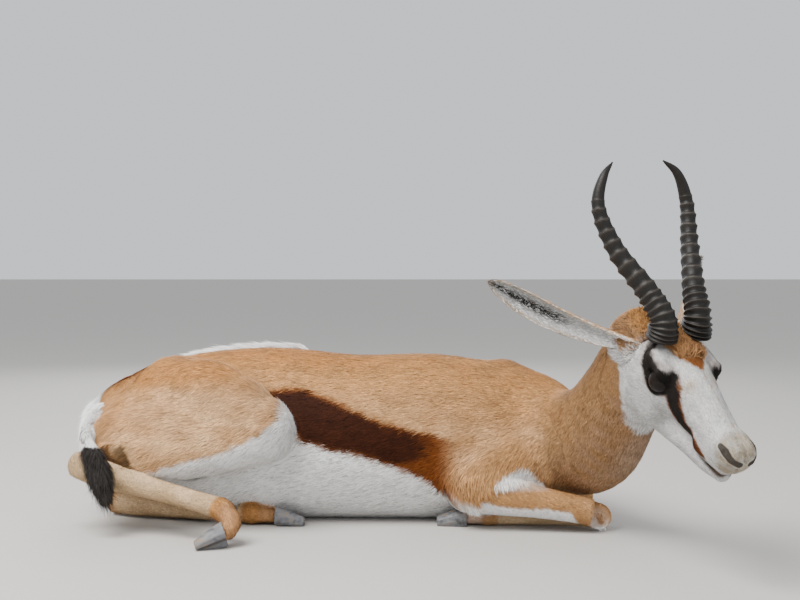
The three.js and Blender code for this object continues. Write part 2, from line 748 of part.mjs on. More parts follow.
for ( const [ name, field, space, cell, coat ] of parts ) {

	const shape = space ? ( x, y, z ) => Math.max( field( x, y, z ), space( x, y, z ) - cell ) : field;
	const [ low, high ] = boxOf( shape );
	let body = solid( surface( shape, low, high, cell ) ).subtract( floor );
	for ( const other of taken ) body = body.subtract( other );
	if ( space ) {

		const room = surface( space, ...boxOf( space ), cell * ( cell < THIN ? 1.4 : 2 ) );
		body = body.intersect( solid( room ) );
		taken.push( solid( swollen( room, GAP ) ) );

	}

	addPart( name, geometryOf( body ), coat );

}

export default springbok;
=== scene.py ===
import bpy
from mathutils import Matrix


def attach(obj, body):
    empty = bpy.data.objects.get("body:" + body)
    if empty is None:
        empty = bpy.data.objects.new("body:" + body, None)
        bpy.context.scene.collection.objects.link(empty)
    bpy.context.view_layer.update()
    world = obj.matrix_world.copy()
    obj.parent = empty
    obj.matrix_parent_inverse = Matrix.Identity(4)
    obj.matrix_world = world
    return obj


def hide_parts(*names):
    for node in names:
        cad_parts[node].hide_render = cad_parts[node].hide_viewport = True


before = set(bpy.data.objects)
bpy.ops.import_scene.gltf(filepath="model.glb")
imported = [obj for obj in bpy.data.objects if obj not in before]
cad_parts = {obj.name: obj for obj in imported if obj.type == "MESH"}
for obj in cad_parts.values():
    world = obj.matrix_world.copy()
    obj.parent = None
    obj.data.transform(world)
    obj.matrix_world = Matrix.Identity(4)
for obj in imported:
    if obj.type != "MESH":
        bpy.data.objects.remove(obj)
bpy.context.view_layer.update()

import bpy
import math
import numpy as np

# Stage
# A plain pale floor under the lying springbok, one large soft light from above the
# head, a fill from the camera's side, and a camera low on the animal's right.
bpy.ops.object.select_all(action="DESELECT")
bpy.ops.mesh.primitive_plane_add(size=60, location=(0, 20, 0))
floor = bpy.context.object
floor.name = "studio_floor"
floor_paint = bpy.data.materials.new("studio_floor_paint")
floor_paint.use_nodes = True
floor_shader = floor_paint.node_tree.nodes["Principled BSDF"]
floor_shader.inputs["Base Color"].default_value = (0.5, 0.48, 0.455, 1)
floor_shader.inputs["Roughness"].default_value = 0.9
floor.data.materials.append(floor_paint)


def soft_light(name, place, target, size, watts, colour):
    lamp = bpy.data.lights.new(name, "AREA")
    lamp.size = size
    lamp.energy = watts
    lamp.color = colour
    holder = bpy.data.objects.new(name, lamp)
    bpy.context.collection.objects.link(holder)
    holder.location = place
    aim = np.array(target) - np.array(place)
    tilt = math.acos(-aim[2] / np.linalg.norm(aim))
    holder.rotation_euler = (tilt, 0, math.atan2(aim[1], aim[0]) - math.pi / 2)


soft_light("sky_light", (-1.1, -1.1, 2.4), (0, -0.1, 0.1), 1.6, 138, (1, 0.98, 0.95))
soft_light("side_fill", (1.9, -2.2, 1.1), (0.2, -0.2, 0.2), 1.6, 12, (0.95, 0.97, 1))
soft_light("back_fill", (-0.4, 2.4, 1.6), (0, 0, 0.1), 1.8, 34, (0.95, 0.97, 1))
world = bpy.context.scene.world or bpy.data.worlds.new("studio")
bpy.context.scene.world = world
world.use_nodes = True
air = world.node_tree.nodes["Background"]
air.inputs["Color"].default_value = (0.8, 0.83, 0.86, 1)
air.inputs["Strength"].default_value = 1.05

CAMERA_PLACE = (0.0205, -1.9975, 0.402)
bpy.ops.object.camera_add(location=CAMERA_PLACE, rotation=(math.pi / 2, 0, 0))
camera = bpy.context.object
camera.data.lens = 54.36
camera.data.sensor_width = 36
camera.data.shift_y = -0.0375
bpy.context.scene.camera = camera

# Skin
# One hide over trunk, neck, head, legs and tail, of short flat hair over muscle. The solids
# of flesh are fused and drawn onto the smooth forms of the body, less the coat's depth.
# Forms are in millimetres from the floor under the chest, and FLAT_CENTRE is the frame's
# origin there.
FLAT_CENTRE = np.array([-20.5, -2.5, 0.0])
FORM_MARGIN = 45
FAR = 1e3


def unit(v):
    return v / np.maximum(np.linalg.norm(v, axis=-1, keepdims=True), 1e-9)


def smooth(v, low, high):
    t = np.clip((v - low) / (high - low), 0, 1)
    return t * t * (3 - 2 * t)


def curve(points, at, chordal=True):
    p = np.asarray(points, float)
    last = len(p) - 1
    q = np.clip(np.asarray(at, float), 0, 1) * last
    k = np.minimum(q.astype(int), last - 1)
    w = (q - k)[:, None]
    ends = np.vstack([2 * p[0] - p[1], p, 2 * p[-1] - p[-2]])
    a, b, c, d = (ends[k + i] for i in range(4))
    if chordal:
        ab, bc, cd = (np.maximum(((n - m) ** 2).sum(1), 1e-9)[:, None] ** 0.25
                      for m, n in ((a, b), (b, c), (c, d)))
        out = ((b - a) / ab - (c - a) / (ab + bc) + (c - b) / bc) * bc
        into = ((c - b) / bc - (d - b) / (bc + cd) + (d - c) / cd) * bc
    else:
        out, into = (c - a) / 2, (d - b) / 2
    return b + out * w + (3 * (c - b) - 2 * out - into) * w ** 2 + (2 * (b - c) + out + into) * w ** 3


class Limb:
    """A soft tube of oval section through stations of x, y, z, half width, half depth and roll."""

    def __init__(self, stations, steps=18, up=(0, 0, 1), up_end=None, lie=1, fall=(0, 0, 0)):
        rows = np.array([list(s) + [0] * (6 - len(s)) for s in stations], float)
        at = np.linspace(0, 1, steps + 1)
        self.steps, self.lie, self.fall = steps, lie, np.array(fall, float)
        self.axis = curve(rows[:, :3], at)
        self.along = unit(curve(rows[:, :3], at + 1e-4) - curve(rows[:, :3], at - 1e-4))
        size = curve(rows[:, 3:], at, False)
        self.width, self.depth = size[:, 0], size[:, 1]
        mix = at[:, None]
        top = np.array(up, float) * (1 - mix) + np.array(up if up_end is None else up_end, float) * mix
        top = unit(top - self.along * (top * self.along).sum(1, keepdims=True))
        turn = -np.radians(size[:, 2])[:, None]
        self.top = top * np.cos(turn) + np.cross(self.along, top) * np.sin(turn)
        self.side = np.cross(self.along, self.top)
        reach = np.maximum(self.width, self.depth).max() + FORM_MARGIN
        self.low, self.high = self.axis.min(0) - reach, self.axis.max(0) + reach

    def locate(self, p):
        """Share of the way along, sideways, upwards and endways offsets, half sizes and course."""
        best = np.full(len(p), np.inf)
        row = np.zeros(len(p), int)
        part = np.zeros(len(p))
        for i in range(self.steps):
            a = self.axis[i]
            e = self.axis[i + 1] - a
            h = np.clip((p - a) @ e / (e @ e), 0, 1)
            d = ((p - a - h[:, None] * e) ** 2).sum(1)
            near = d < best
            best[near], row[near], part[near] = d[near], i, h[near]

        def mixed(v):
            return v[row] + (v[row + 1] - v[row]) * (part if v.ndim == 1 else part[:, None])

        off = p - mixed(self.axis)
        u, v = (off * mixed(self.side)).sum(1), (off * mixed(self.top)).sum(1)
        end = ((row == 0) & (part == 0)) | ((row == self.steps - 1) & (part == 1))
        w = np.where(end, (off * mixed(self.along)).sum(1), 0)
        return (row + part) / self.steps, u, v, w, mixed(self.width), mixed(self.depth), mixed(self.along)

    def distance(self, p, flow=None):
        """Depth below 0 and height above it; adds the lie of the coat to flow near the form."""
        out = np.full(len(p), FAR)
        near = ((p > self.low) & (p < self.high)).all(1)
        if near.any():
            _, u, v, w, width, depth, along = self.locate(p[near])
            end = np.minimum(width, depth)
            k0 = np.sqrt((u / width) ** 2 + (v / depth) ** 2 + (w / end) ** 2)
            k1 = np.sqrt((u / width ** 2) ** 2 + (v / depth ** 2) ** 2 + (w / end ** 2) ** 2)
            out[near] = np.where(k1 > 1e-9, k0 * (k0 - 1) / np.maximum(k1, 1e-9), -end)
            if flow is not None:
                weight = np.exp(-np.clip(out[near] / 11, -3, 12))[:, None]
                flow[near] += weight * unit(along * self.lie + self.fall)
        return out


def soft(a, b, k):
    """The nearer of two distances, blended over k."""
    h = np.maximum(k - np.abs(a - b), 0) / k
    return np.minimum(a, b) - h * h * k * 0.25


def trunk_station(x, y, belly, back, half, roll):
    lean = math.radians(roll)
    depth = math.sqrt(((back - belly) / 2) ** 2 - (half * math.sin(lean)) ** 2) / math.cos(lean)
    return x, y, (back + belly) / 2, half, depth, roll


trunk = Limb([trunk_station(-440, 0, 62, 214, 70, 30), trunk_station(-360, 4, 22, 258, 104, 30),
              trunk_station(-225, 4, 2, 273, 110, 26), trunk_station(-75, 0, -3, 262, 118, 22),
              trunk_station(60, -4, -3, 263, 116, 20), trunk_station(155, -12, -2, 246, 106, 16),
              trunk_station(215, -20, 12, 222, 88, 12)], 24, lie=-1, fall=(0, 0, -0.28))
croup = Limb([(-445, -4, 178, 40, 36), (-420, -6, 192, 46, 40), (-372, -16, 205, 50, 44)], lie=1,
             fall=(0, 0, -0.3))
flap = Limb([(-458, -92, 140, 28, 34), (-418, -112, 144, 30, 36), (-366, -124, 148, 28, 34)], lie=-1,
            fall=(0, 0, -0.6))
neck = Limb([(205, 20, 150, 62, 88), (262, -60, 128, 58, 88), (298, -150, 148, 54, 80),
             (318, -240, 208, 48, 68), (336, -318, 282, 44, 58)],
            up=(-0.5, 0.3, 0.8), up_end=(-0.5, 0.6, 0.6), lie=-1, fall=(-0.1, 0, -0.45))
right_fore = {
    "shoulder": Limb([(150, 6, 205, 30, 55), (205, -50, 150, 34, 66), (228, -72, 112, 38, 56)],
                     up=(1, 0, 0), fall=(-0.9, 0, -0.2)),
    "upper": Limb([(226, -78, 112, 46, 46), (165, -108, 86, 42, 46), (112, -120, 64, 33, 38)],
                  fall=(0, 0, -0.5)),
    "forearm": Limb([(104, -118, 62, 30, 36), (150, -130, 56, 28, 34), (220, -142, 44, 22, 25),
                     (290, -150, 32, 20, 21), (308, -150, 27, 19, 21)], fall=(0, 0, -0.15)),
    "cannon": Limb([(306, -132, 20, 17, 18), (262, -108, 15, 12, 14), (180, -98, 13, 11, 13),
                    (142, -96, 14, 13, 14)]),
    "pastern": Limb([(140, -96, 14, 13, 13), (110, -96, 13, 12, 12)], 6)}
left_fore = {
    "shoulder": Limb([(150, 50, 200, 28, 55), (205, 66, 140, 34, 62), (226, 70, 105, 36, 52)], up=(1, 0, 0),
                     fall=(-0.9, 0, -0.2)),
    "upper": Limb([(224, 72, 104, 42, 42), (165, 88, 78, 38, 42), (112, 90, 58, 30, 36)],
                  fall=(0, 0, -0.5)),
    "forearm": Limb([(106, 88, 54, 28, 34), (160, 80, 48, 25, 30), (230, 62, 38, 21, 24),
                     (292, 42, 26, 19, 20), (308, 36, 23, 18, 20)]),
    "cannon": Limb([(312, 62, 20, 16, 18), (270, 96, 15, 12, 14), (190, 122, 13, 11, 13),
                    (152, 130, 14, 13, 14)]),
    "pastern": Limb([(150, 130, 14, 13, 13), (120, 134, 13, 12, 12)], 6)}
right_hind = {
    "thigh": Limb([(-372, -42, 177, 50, 77), (-300, -88, 176, 50, 84), (-236, -122, 168, 42, 62),
                   (-208, -134, 160, 34, 44)], lie=-1, fall=(0, 0, -0.75)),
    "ham": Limb([(-440, -20, 140, 42, 62), (-390, -78, 136, 44, 58), (-330, -116, 132, 40, 52)], lie=-1,
                fall=(0, 0, -0.8)),
    "shank": Limb([(-204, -136, 152, 34, 38), (-280, -142, 128, 34, 36), (-370, -142, 113, 27, 32),
                   (-448, -134, 104, 19, 27), (-496, -130, 101, 13, 19)], fall=(0, 0, -0.25)),
    "cannon": Limb([(-500, -130, 100, 14, 19), (-458, -140, 88, 20, 24), (-400, -162, 76, 16, 19),
                    (-320, -198, 62, 14, 16), (-268, -222, 52, 15, 17)]),
    "pastern": Limb([(-258, -228, 48, 17, 18), (-246, -238, 34, 15, 15), (-250, -246, 24, 15, 14)], 8)}
left_hind = {
    "thigh": Limb([(-372, 60, 120, 46, 76), (-300, 52, 84, 46, 66), (-232, 40, 52, 38, 46)], lie=-1,
                  fall=(0, 0, -0.5)),
    "ham": Limb([(-430, 30, 112, 42, 52), (-380, 22, 80, 40, 50), (-330, 14, 62, 36, 44)], lie=-1,
                fall=(0, 0, -0.5)),
    "shank": Limb([(-226, 30, 42, 32, 34), (-300, 4, 34, 30, 30), (-380, -12, 28, 22, 24),
                   (-440, -14, 24, 16, 20), (-466, -12, 22, 13, 18)]),
    "cannon": Limb([(-466, -14, 21, 13, 18), (-430, -34, 21, 16, 19), (-360, -58, 18, 13, 15),
                    (-270, -84, 17, 12, 14), (-236, -92, 18, 14, 15)]),
    "pastern": Limb([(-234, -92, 18, 14, 15), (-202, -94, 15, 12, 12)], 6)}
tail = Limb([(-452, 30, 196, 13, 15), (-486, -10, 186, 12, 14), (-494, -70, 158, 11, 12),
             (-486, -128, 146, 11, 11)])
tuft_core = Limb([(-480, -140, 145, 12, 10), (-465, -174, 124, 15, 9), (-452, -186, 98, 18, 9),
                  (-443, -191, 70, 10, 7)], up=(0, -1, 0))

# The head's own frame: x from poll to nose, y to the left cheek, z to the forehead.
POLL = np.array([340.0, -355.0, 344.0])
HEAD_LENGTH = 257
yaw, pitch, roll = np.radians([-64, 38, 5])
turn_yaw = np.array([[math.cos(yaw), -math.sin(yaw), 0], [math.sin(yaw), math.cos(yaw), 0], [0, 0, 1]])
turn_pitch = np.array([[math.cos(pitch), 0, math.sin(pitch)], [0, 1, 0],
                       [-math.sin(pitch), 0, math.cos(pitch)]])
turn_roll = np.array([[1, 0, 0], [0, math.cos(roll), -math.sin(roll)], [0, math.sin(roll), math.cos(roll)]])
HEAD = turn_yaw @ turn_pitch @ turn_roll
skull = Limb([(2, 0, -44, 38, 42), (38, 0, -42, 44, 52), (84, 0, -38, 47, 52), (124, 0, -33, 38, 42),
              (168, 0, -33, 29, 33), (212, 0, -35, 24, 27), (HEAD_LENGTH - 22, 0, -34, 23, 22)], 20, lie=-1)
jaw = Limb([(64, 0, -90, 32, 30), (110, 0, -91, 26, 24), (165, 0, -83, 19, 18), (206, 0, -78, 15, 15),
            (232, 0, -73, 12, 10)], lie=-1)
cheek = Limb([(60, 24, -70, 18, 42), (108, 24, -66, 15, 32)], 4, lie=-1)
brow = Limb([(82, 36, -6, 12, 10), (110, 41, -9, 11, 9)], 4, lie=-1)
nose = Limb([(226, 11, -24, 11, 11), (244, 8, -24, 9, 12)], 4, lie=-1)
lip = Limb([(196, 15, -54, 10, 10), (236, 8, -50, 9, 11)], 4, lie=-1)
EYE = np.array([105.0, 34.0, -24.0])
EYE_RADIUS = 17
eye_out = unit(np.array([0.14, 0.95, 0.2]))
eye_long = np.array([0.93, -0.08, -0.34])
eye_long = unit(eye_long - eye_out * (eye_long @ eye_out))
eye_up = np.cross(eye_long, eye_out)
eye_up = eye_up if eye_up[2] > 0 else -eye_up
EYE_HOLE = EYE_RADIUS - 1.6
LID = 2.3
NOSTRIL = np.array([(229, 22, -21, 2.2), (238, 20.5, -22, 3.8), (248, 15.5, -26, 3.8), (256, 8, -29, 2.4)],
                   float)
MOUTH = np.array([(198, 19, -71, 1), (212, 17, -70, 1), (228, 14, -67, 1), (242, 9, -63, 1),
                  (252, 0, -60, 1)], float)


def ribbon(p, path):
    """Distance to a path of x, y, z and radius."""
    best = np.full(len(p), FAR)
    for a, b in zip(path[:-1], path[1:]):
        e = b[:-1] - a[:-1]
        h = np.clip((p - a[:-1]) @ e / (e @ e), 0, 1)
        best = np.minimum(best, np.linalg.norm(p - a[:-1] - h[:, None] * e, axis=1) - a[-1]
                          - (b[-1] - a[-1]) * h)
    return best


def in_head(p):
    q = (p - POLL) @ HEAD
    return np.column_stack([q[:, 0], np.abs(q[:, 1]), q[:, 2]])


def head_form(p, detail=True, flow=None):
    out = np.full(len(p), FAR)
    whole = (p - POLL) @ HEAD
    near = (np.abs(whole - np.array([125, 0, -50])) < np.array([200, 130, 150])).all(1)
    if not near.any():
        return out
    q = np.column_stack([whole[near, 0], np.abs(whole[near, 1]), whole[near, 2]])
    drift = None if flow is None else np.zeros_like(q)
    d = skull.distance(q, drift)
    for form in (jaw, cheek, brow, nose, lip):
        d = soft(d, form.distance(q, drift), 16)
    if flow is not None:
        drift[:, 1] *= np.sign(whole[near, 1])
        flow[near] += drift @ HEAD.T
    if detail:
        r = np.linalg.norm(q - EYE, axis=1)
        local = q - EYE
        along, up, out_by = local @ eye_long, local @ eye_up, local @ eye_out
        d = soft(d, r - EYE_RADIUS - LID, 6)
        shape = np.hypot(along / 15.5, np.where(up > 0, up / 9.5, up / 8.0)) - 1
        carve = np.maximum(shape * 8, EYE_HOLE - r)
        carve = np.where(out_by > 3, carve, 50)
        d = np.maximum(d, -carve)
        d = np.maximum(d, -ribbon(q, NOSTRIL))
    out[near] = d
    return out


LEGS = (right_fore, left_fore, right_hind, left_hind)
MASS = [trunk, croup, flap, neck]
MASS += [leg[bone] for bone in ("shoulder", "upper") for leg in LEGS[:2]]
MASS += [leg[bone] for bone in ("thigh", "ham") for leg in LEGS[2:]]
FLESH_BLEND = 34
HEAD_COAT = 1.2
BODY_COAT = 2.4
LEG_COAT = 1.3


def body(p, detail=True, flow=None):
    """Distance to the skin: the flesh's forms blended, less the depth of the coat."""
    d = MASS[0].distance(p, flow)
    for form in MASS[1:]:
        d = soft(d, form.distance(p, flow), FLESH_BLEND)
    head = head_form(p, detail, flow)
    depth = HEAD_COAT + (BODY_COAT - HEAD_COAT) * smooth(head - d, -10, 30)
    d = soft(d, head, 24)
    for leg in LEGS:
        bone, upper_blend, lower_blend = ("shank", 30, 10) if "shank" in leg else ("forearm", 14, 18)
        lower = soft(leg["cannon"].distance(p, flow), leg["pastern"].distance(p, flow), 10)
        upper = leg[bone].distance(p, flow)
        depth = np.where(np.minimum(lower, upper) < d, LEG_COAT, depth)
        d = soft(soft(d, upper, upper_blend), lower, lower_blend)
    d = soft(d, tail.distance(p, flow), 10)
    d = soft(d, tuft_core.distance(p, flow) + 5, 8)
    return d + depth


PROBE = 0.4
GENTLEST = 0.35


def settle(p, passes, detail=True, reach=3):
    """Moves points onto the skin, by no more than reach in a pass."""
    for _ in range(passes):
        d = body(p, detail)
        slope = np.column_stack([body(p + step, detail) - d for step in np.eye(3) * PROBE]) / PROBE
        steep = np.maximum((slope ** 2).sum(1), GENTLEST)
        p = p - slope * (np.clip(d, -reach, reach) / steep)[:, None]
    return p


def to_body(points_m):
    return points_m * 1000 + FLAT_CENTRE


def to_world(points_mm):
    return (points_mm - FLAT_CENTRE) / 1000


LEG_NAMES = ("fore_right", "fore_left", "hind_right", "hind_left")
FLESH = ["tail_tuft", "tail", "head", "neck", "trunk"]
FLESH += [f"{part}_{side}" for part in ("upper_arm", "thigh", "forearm") for side in ("right", "left")]
FLESH += [f"{part}_{leg}" for part in ("pastern", "cannon") for leg in LEG_NAMES]
FLESH += ["shank_hind_right", "shank_hind_left"]


def copied(node):
    piece = node.copy()
    piece.data = node.data.copy()
    piece.parent = None
    bpy.context.collection.objects.link(piece)
    return piece


def pick_out(*pieces):
    """Selects only these, with the first one active."""
    bpy.ops.object.select_all(action="DESELECT")
    for piece in pieces:
        piece.select_set(True)
    bpy.context.view_layer.objects.active = pieces[0]


def on_mesh(operator, **settings):
    """Runs a mesh operator on all of the active piece."""
    bpy.ops.object.mode_set(mode="EDIT")
    bpy.ops.mesh.select_all(action="SELECT")
    operator(**settings)
    bpy.ops.object.mode_set(mode="OBJECT")


# Round plugs close the notch between haunch and shank, where the hide spans it.
PLUG_LINE = [(-462, -86, 138), (-418, -108, 142), (-366, -118, 146)]
PLUG_COUNT = 14
copies = [copied(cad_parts[name]) for name in FLESH]
for spot in curve(PLUG_LINE, np.linspace(0, 1, PLUG_COUNT)):
    bpy.ops.mesh.primitive_uv_sphere_add(segments=24, ring_count=16, radius=0.029, location=to_world(spot))
    copies.append(bpy.context.object)
pick_out(*copies)
bpy.ops.object.join()
skin = bpy.context.object
skin.name = "skin"
on_mesh(bpy.ops.mesh.remove_doubles, threshold=0.00001)
on_mesh(bpy.ops.transform.shrink_fatten, value=0.0015)
fuse = skin.modifiers.new("fuse", "REMESH")
fuse.mode = "VOXEL"
fuse.voxel_size = 0.0045
bpy.ops.object.modifier_apply(modifier="fuse")


def places(mesh):
    co = np.empty(len(mesh.vertices) * 3)
    mesh.vertices.foreach_get("co", co)
    return co.reshape(-1, 3)


def put(mesh, co):
    mesh.vertices.foreach_set("co", np.ascontiguousarray(co, dtype=float).ravel())
    mesh.update()


def face_centres(mesh):
    co = np.empty(len(mesh.polygons) * 3)
    mesh.polygons.foreach_get("center", co)
    return co.reshape(-1, 3)


def refine(wanted):
    """Splits the faces picked by a function of their centres in the head's frame."""
    pick = wanted(in_head(to_body(face_centres(skin.data))))
    bpy.ops.object.mode_set(mode="EDIT")
    bpy.ops.mesh.select_mode(type="FACE")
    bpy.ops.mesh.select_all(action="DESELECT")
    bpy.ops.object.mode_set(mode="OBJECT")
    skin.data.polygons.foreach_set("select", pick)
    bpy.ops.object.mode_set(mode="EDIT")
    bpy.ops.mesh.subdivide(number_cuts=1, smoothness=0, quadcorner="INNERVERT")
    bpy.ops.object.mode_set(mode="OBJECT")


on_mesh(bpy.ops.mesh.vertices_smooth, factor=0.5, repeat=6)
put(skin.data, to_world(settle(to_body(places(skin.data)), 5, False, 8)))
on_mesh(bpy.ops.mesh.vertices_smooth, factor=0.5, repeat=3)
put(skin.data, to_world(settle(to_body(places(skin.data)), 1, False)))
refine(lambda q: (q[:, 0] > -15) & (q[:, 0] < 275) & (q[:, 1] < 75) & (q[:, 2] > -125) & (q[:, 2] < 40))
refine(lambda q: ((np.linalg.norm(q - EYE, axis=1) < 30) & (q[:, 1] > 24))
       | ((q[:, 0] > 196) & (q[:, 2] > -80)))
p = settle(to_body(places(skin.data)), 3)


# Creases of the hide, each as its width, its depth and its line: neck and shoulder, two on
# the neck, haunch and flank, three folds over the shank, and the elbow.
CREASES = (
    (7, 4.2, [(226, -132, 180), (234, -142, 162), (244, -161, 139), (248, -155, 113), (246, -125, 70)]),
    (7, 2.2, [(262, -196, 200), (272, -204, 172), (276, -206, 146), (272, -196, 118)]),
    (6, 1.8, [(300, -252, 226), (306, -256, 200), (308, -252, 176)]),
    (5, 3.5, [(-190, -84, 224), (-166, -104, 196), (-154, -120, 164), (-160, -126, 140),
              (-200, -120, 108)]),
    (5, 2.4, [(-466, -110, 122), (-410, -132, 136), (-340, -150, 152)]),
    (4, 2.0, [(-456, -120, 112), (-400, -142, 126), (-356, -158, 138)]),
    (4, 1.6, [(-440, -130, 104), (-392, -150, 117), (-352, -162, 126)]),
    (6, 2.4, [(150, -130, 92), (190, -142, 84), (232, -130, 70)]))


def grooves(p):
    """Depth of the mouth's line and of the creases."""
    sunk = 1.5 * np.exp(-(np.maximum(ribbon(in_head(p), MOUTH) + 1, 0) / 1.7) ** 2)
    for wide, deep, line in CREASES:
        path = np.column_stack([np.array(line, float), np.zeros(len(line))])
        sunk += deep * np.exp(-(ribbon(p, path) / wide) ** 2)
    return sunk


def normals_of(mesh):
    n = np.empty(len(mesh.vertices) * 3)
    mesh.vertices.foreach_get("normal", n)
    return n.reshape(-1, 3)


put(skin.data, to_world(p))
p = p - normals_of(skin.data) * grooves(p)[:, None]
p[:, 2] = np.maximum(p[:, 2], 0.8)
put(skin.data, to_world(p))
pick_out(skin)
bpy.ops.object.shade_smooth()

# Markings
# The springbok's own pattern, in distances on the body: fawn above, a dark band along the
# flank, white below, white face with a dark stripe through the eye. Skin and coat share it,
# and with it painted shade on the neck towards the head, on the face, in the nostrils and in the mouth's
# slit.
TAN = np.array([0.47, 0.265, 0.13])
WARM = np.array([0.44, 0.21, 0.08])
PALE = np.array([0.58, 0.385, 0.23])
WHITE = np.array([0.87, 0.86, 0.845])
DARK = np.array([0.032, 0.01, 0.005])
RUST = np.array([0.15, 0.048, 0.016])
BEIGE = np.array([0.56, 0.41, 0.26])
ORANGE = np.array([0.37, 0.185, 0.075])
BLACK = np.array([0.012, 0.01, 0.009])
DUN = np.array([0.36, 0.31, 0.24])
RUDDY = np.array([0.36, 0.22, 0.15])


def stain(colour, tint, much):
    """Moves a colour towards a tint by a share from 0 to 1."""
    return colour + (np.asarray(tint) - colour) * np.clip(much, 0, 1)[:, None]


def ripple(p, size, seed):
    """Soft irregular number from -1 to 1 over space, from crossing waves."""
    waves = np.random.default_rng(seed)
    total = np.zeros(len(p))
    for _ in range(7):
        k = unit(waves.normal(size=3)) * waves.uniform(0.6, 1.7) * 2 * math.pi / size
        total += np.sin(p @ k + waves.uniform(0, 6.28))
    return total / 3.7


def between(v, low, high, edge):
    """1 between two limits and 0 outside, fading over the edge."""
    return smooth(v, low - edge, low + edge) * (1 - smooth(v, high - edge, high + edge))


REAR_FIRST = LEGS[2:] + LEGS[:2]
EYE_STRIPE = np.array([(50, 0, 6, 3), (64, 0, -2, 8), (84, 0, -15, 16), (100, 0, -20, 20),
                       (116, 0, -18, 17), (132, 0, -21, 11), (148, 0, -36, 10), (164, 0, -50, 11),
                       (186, 0, -55, 10), (203, 0, -56, 6), (212, 0, -57, 3)], float)


def within(form, p, outer, inner):
    """1 deep in a form and 0 well outside, fading between two distances inwards."""
    return smooth(-form.distance(p), outer, inner)


def from_back(p):
    """Degrees round the trunk from its top line."""
    _, u, v, _, _, _, _ = trunk.locate(p)
    return np.degrees(np.arctan2(np.abs(u), v))


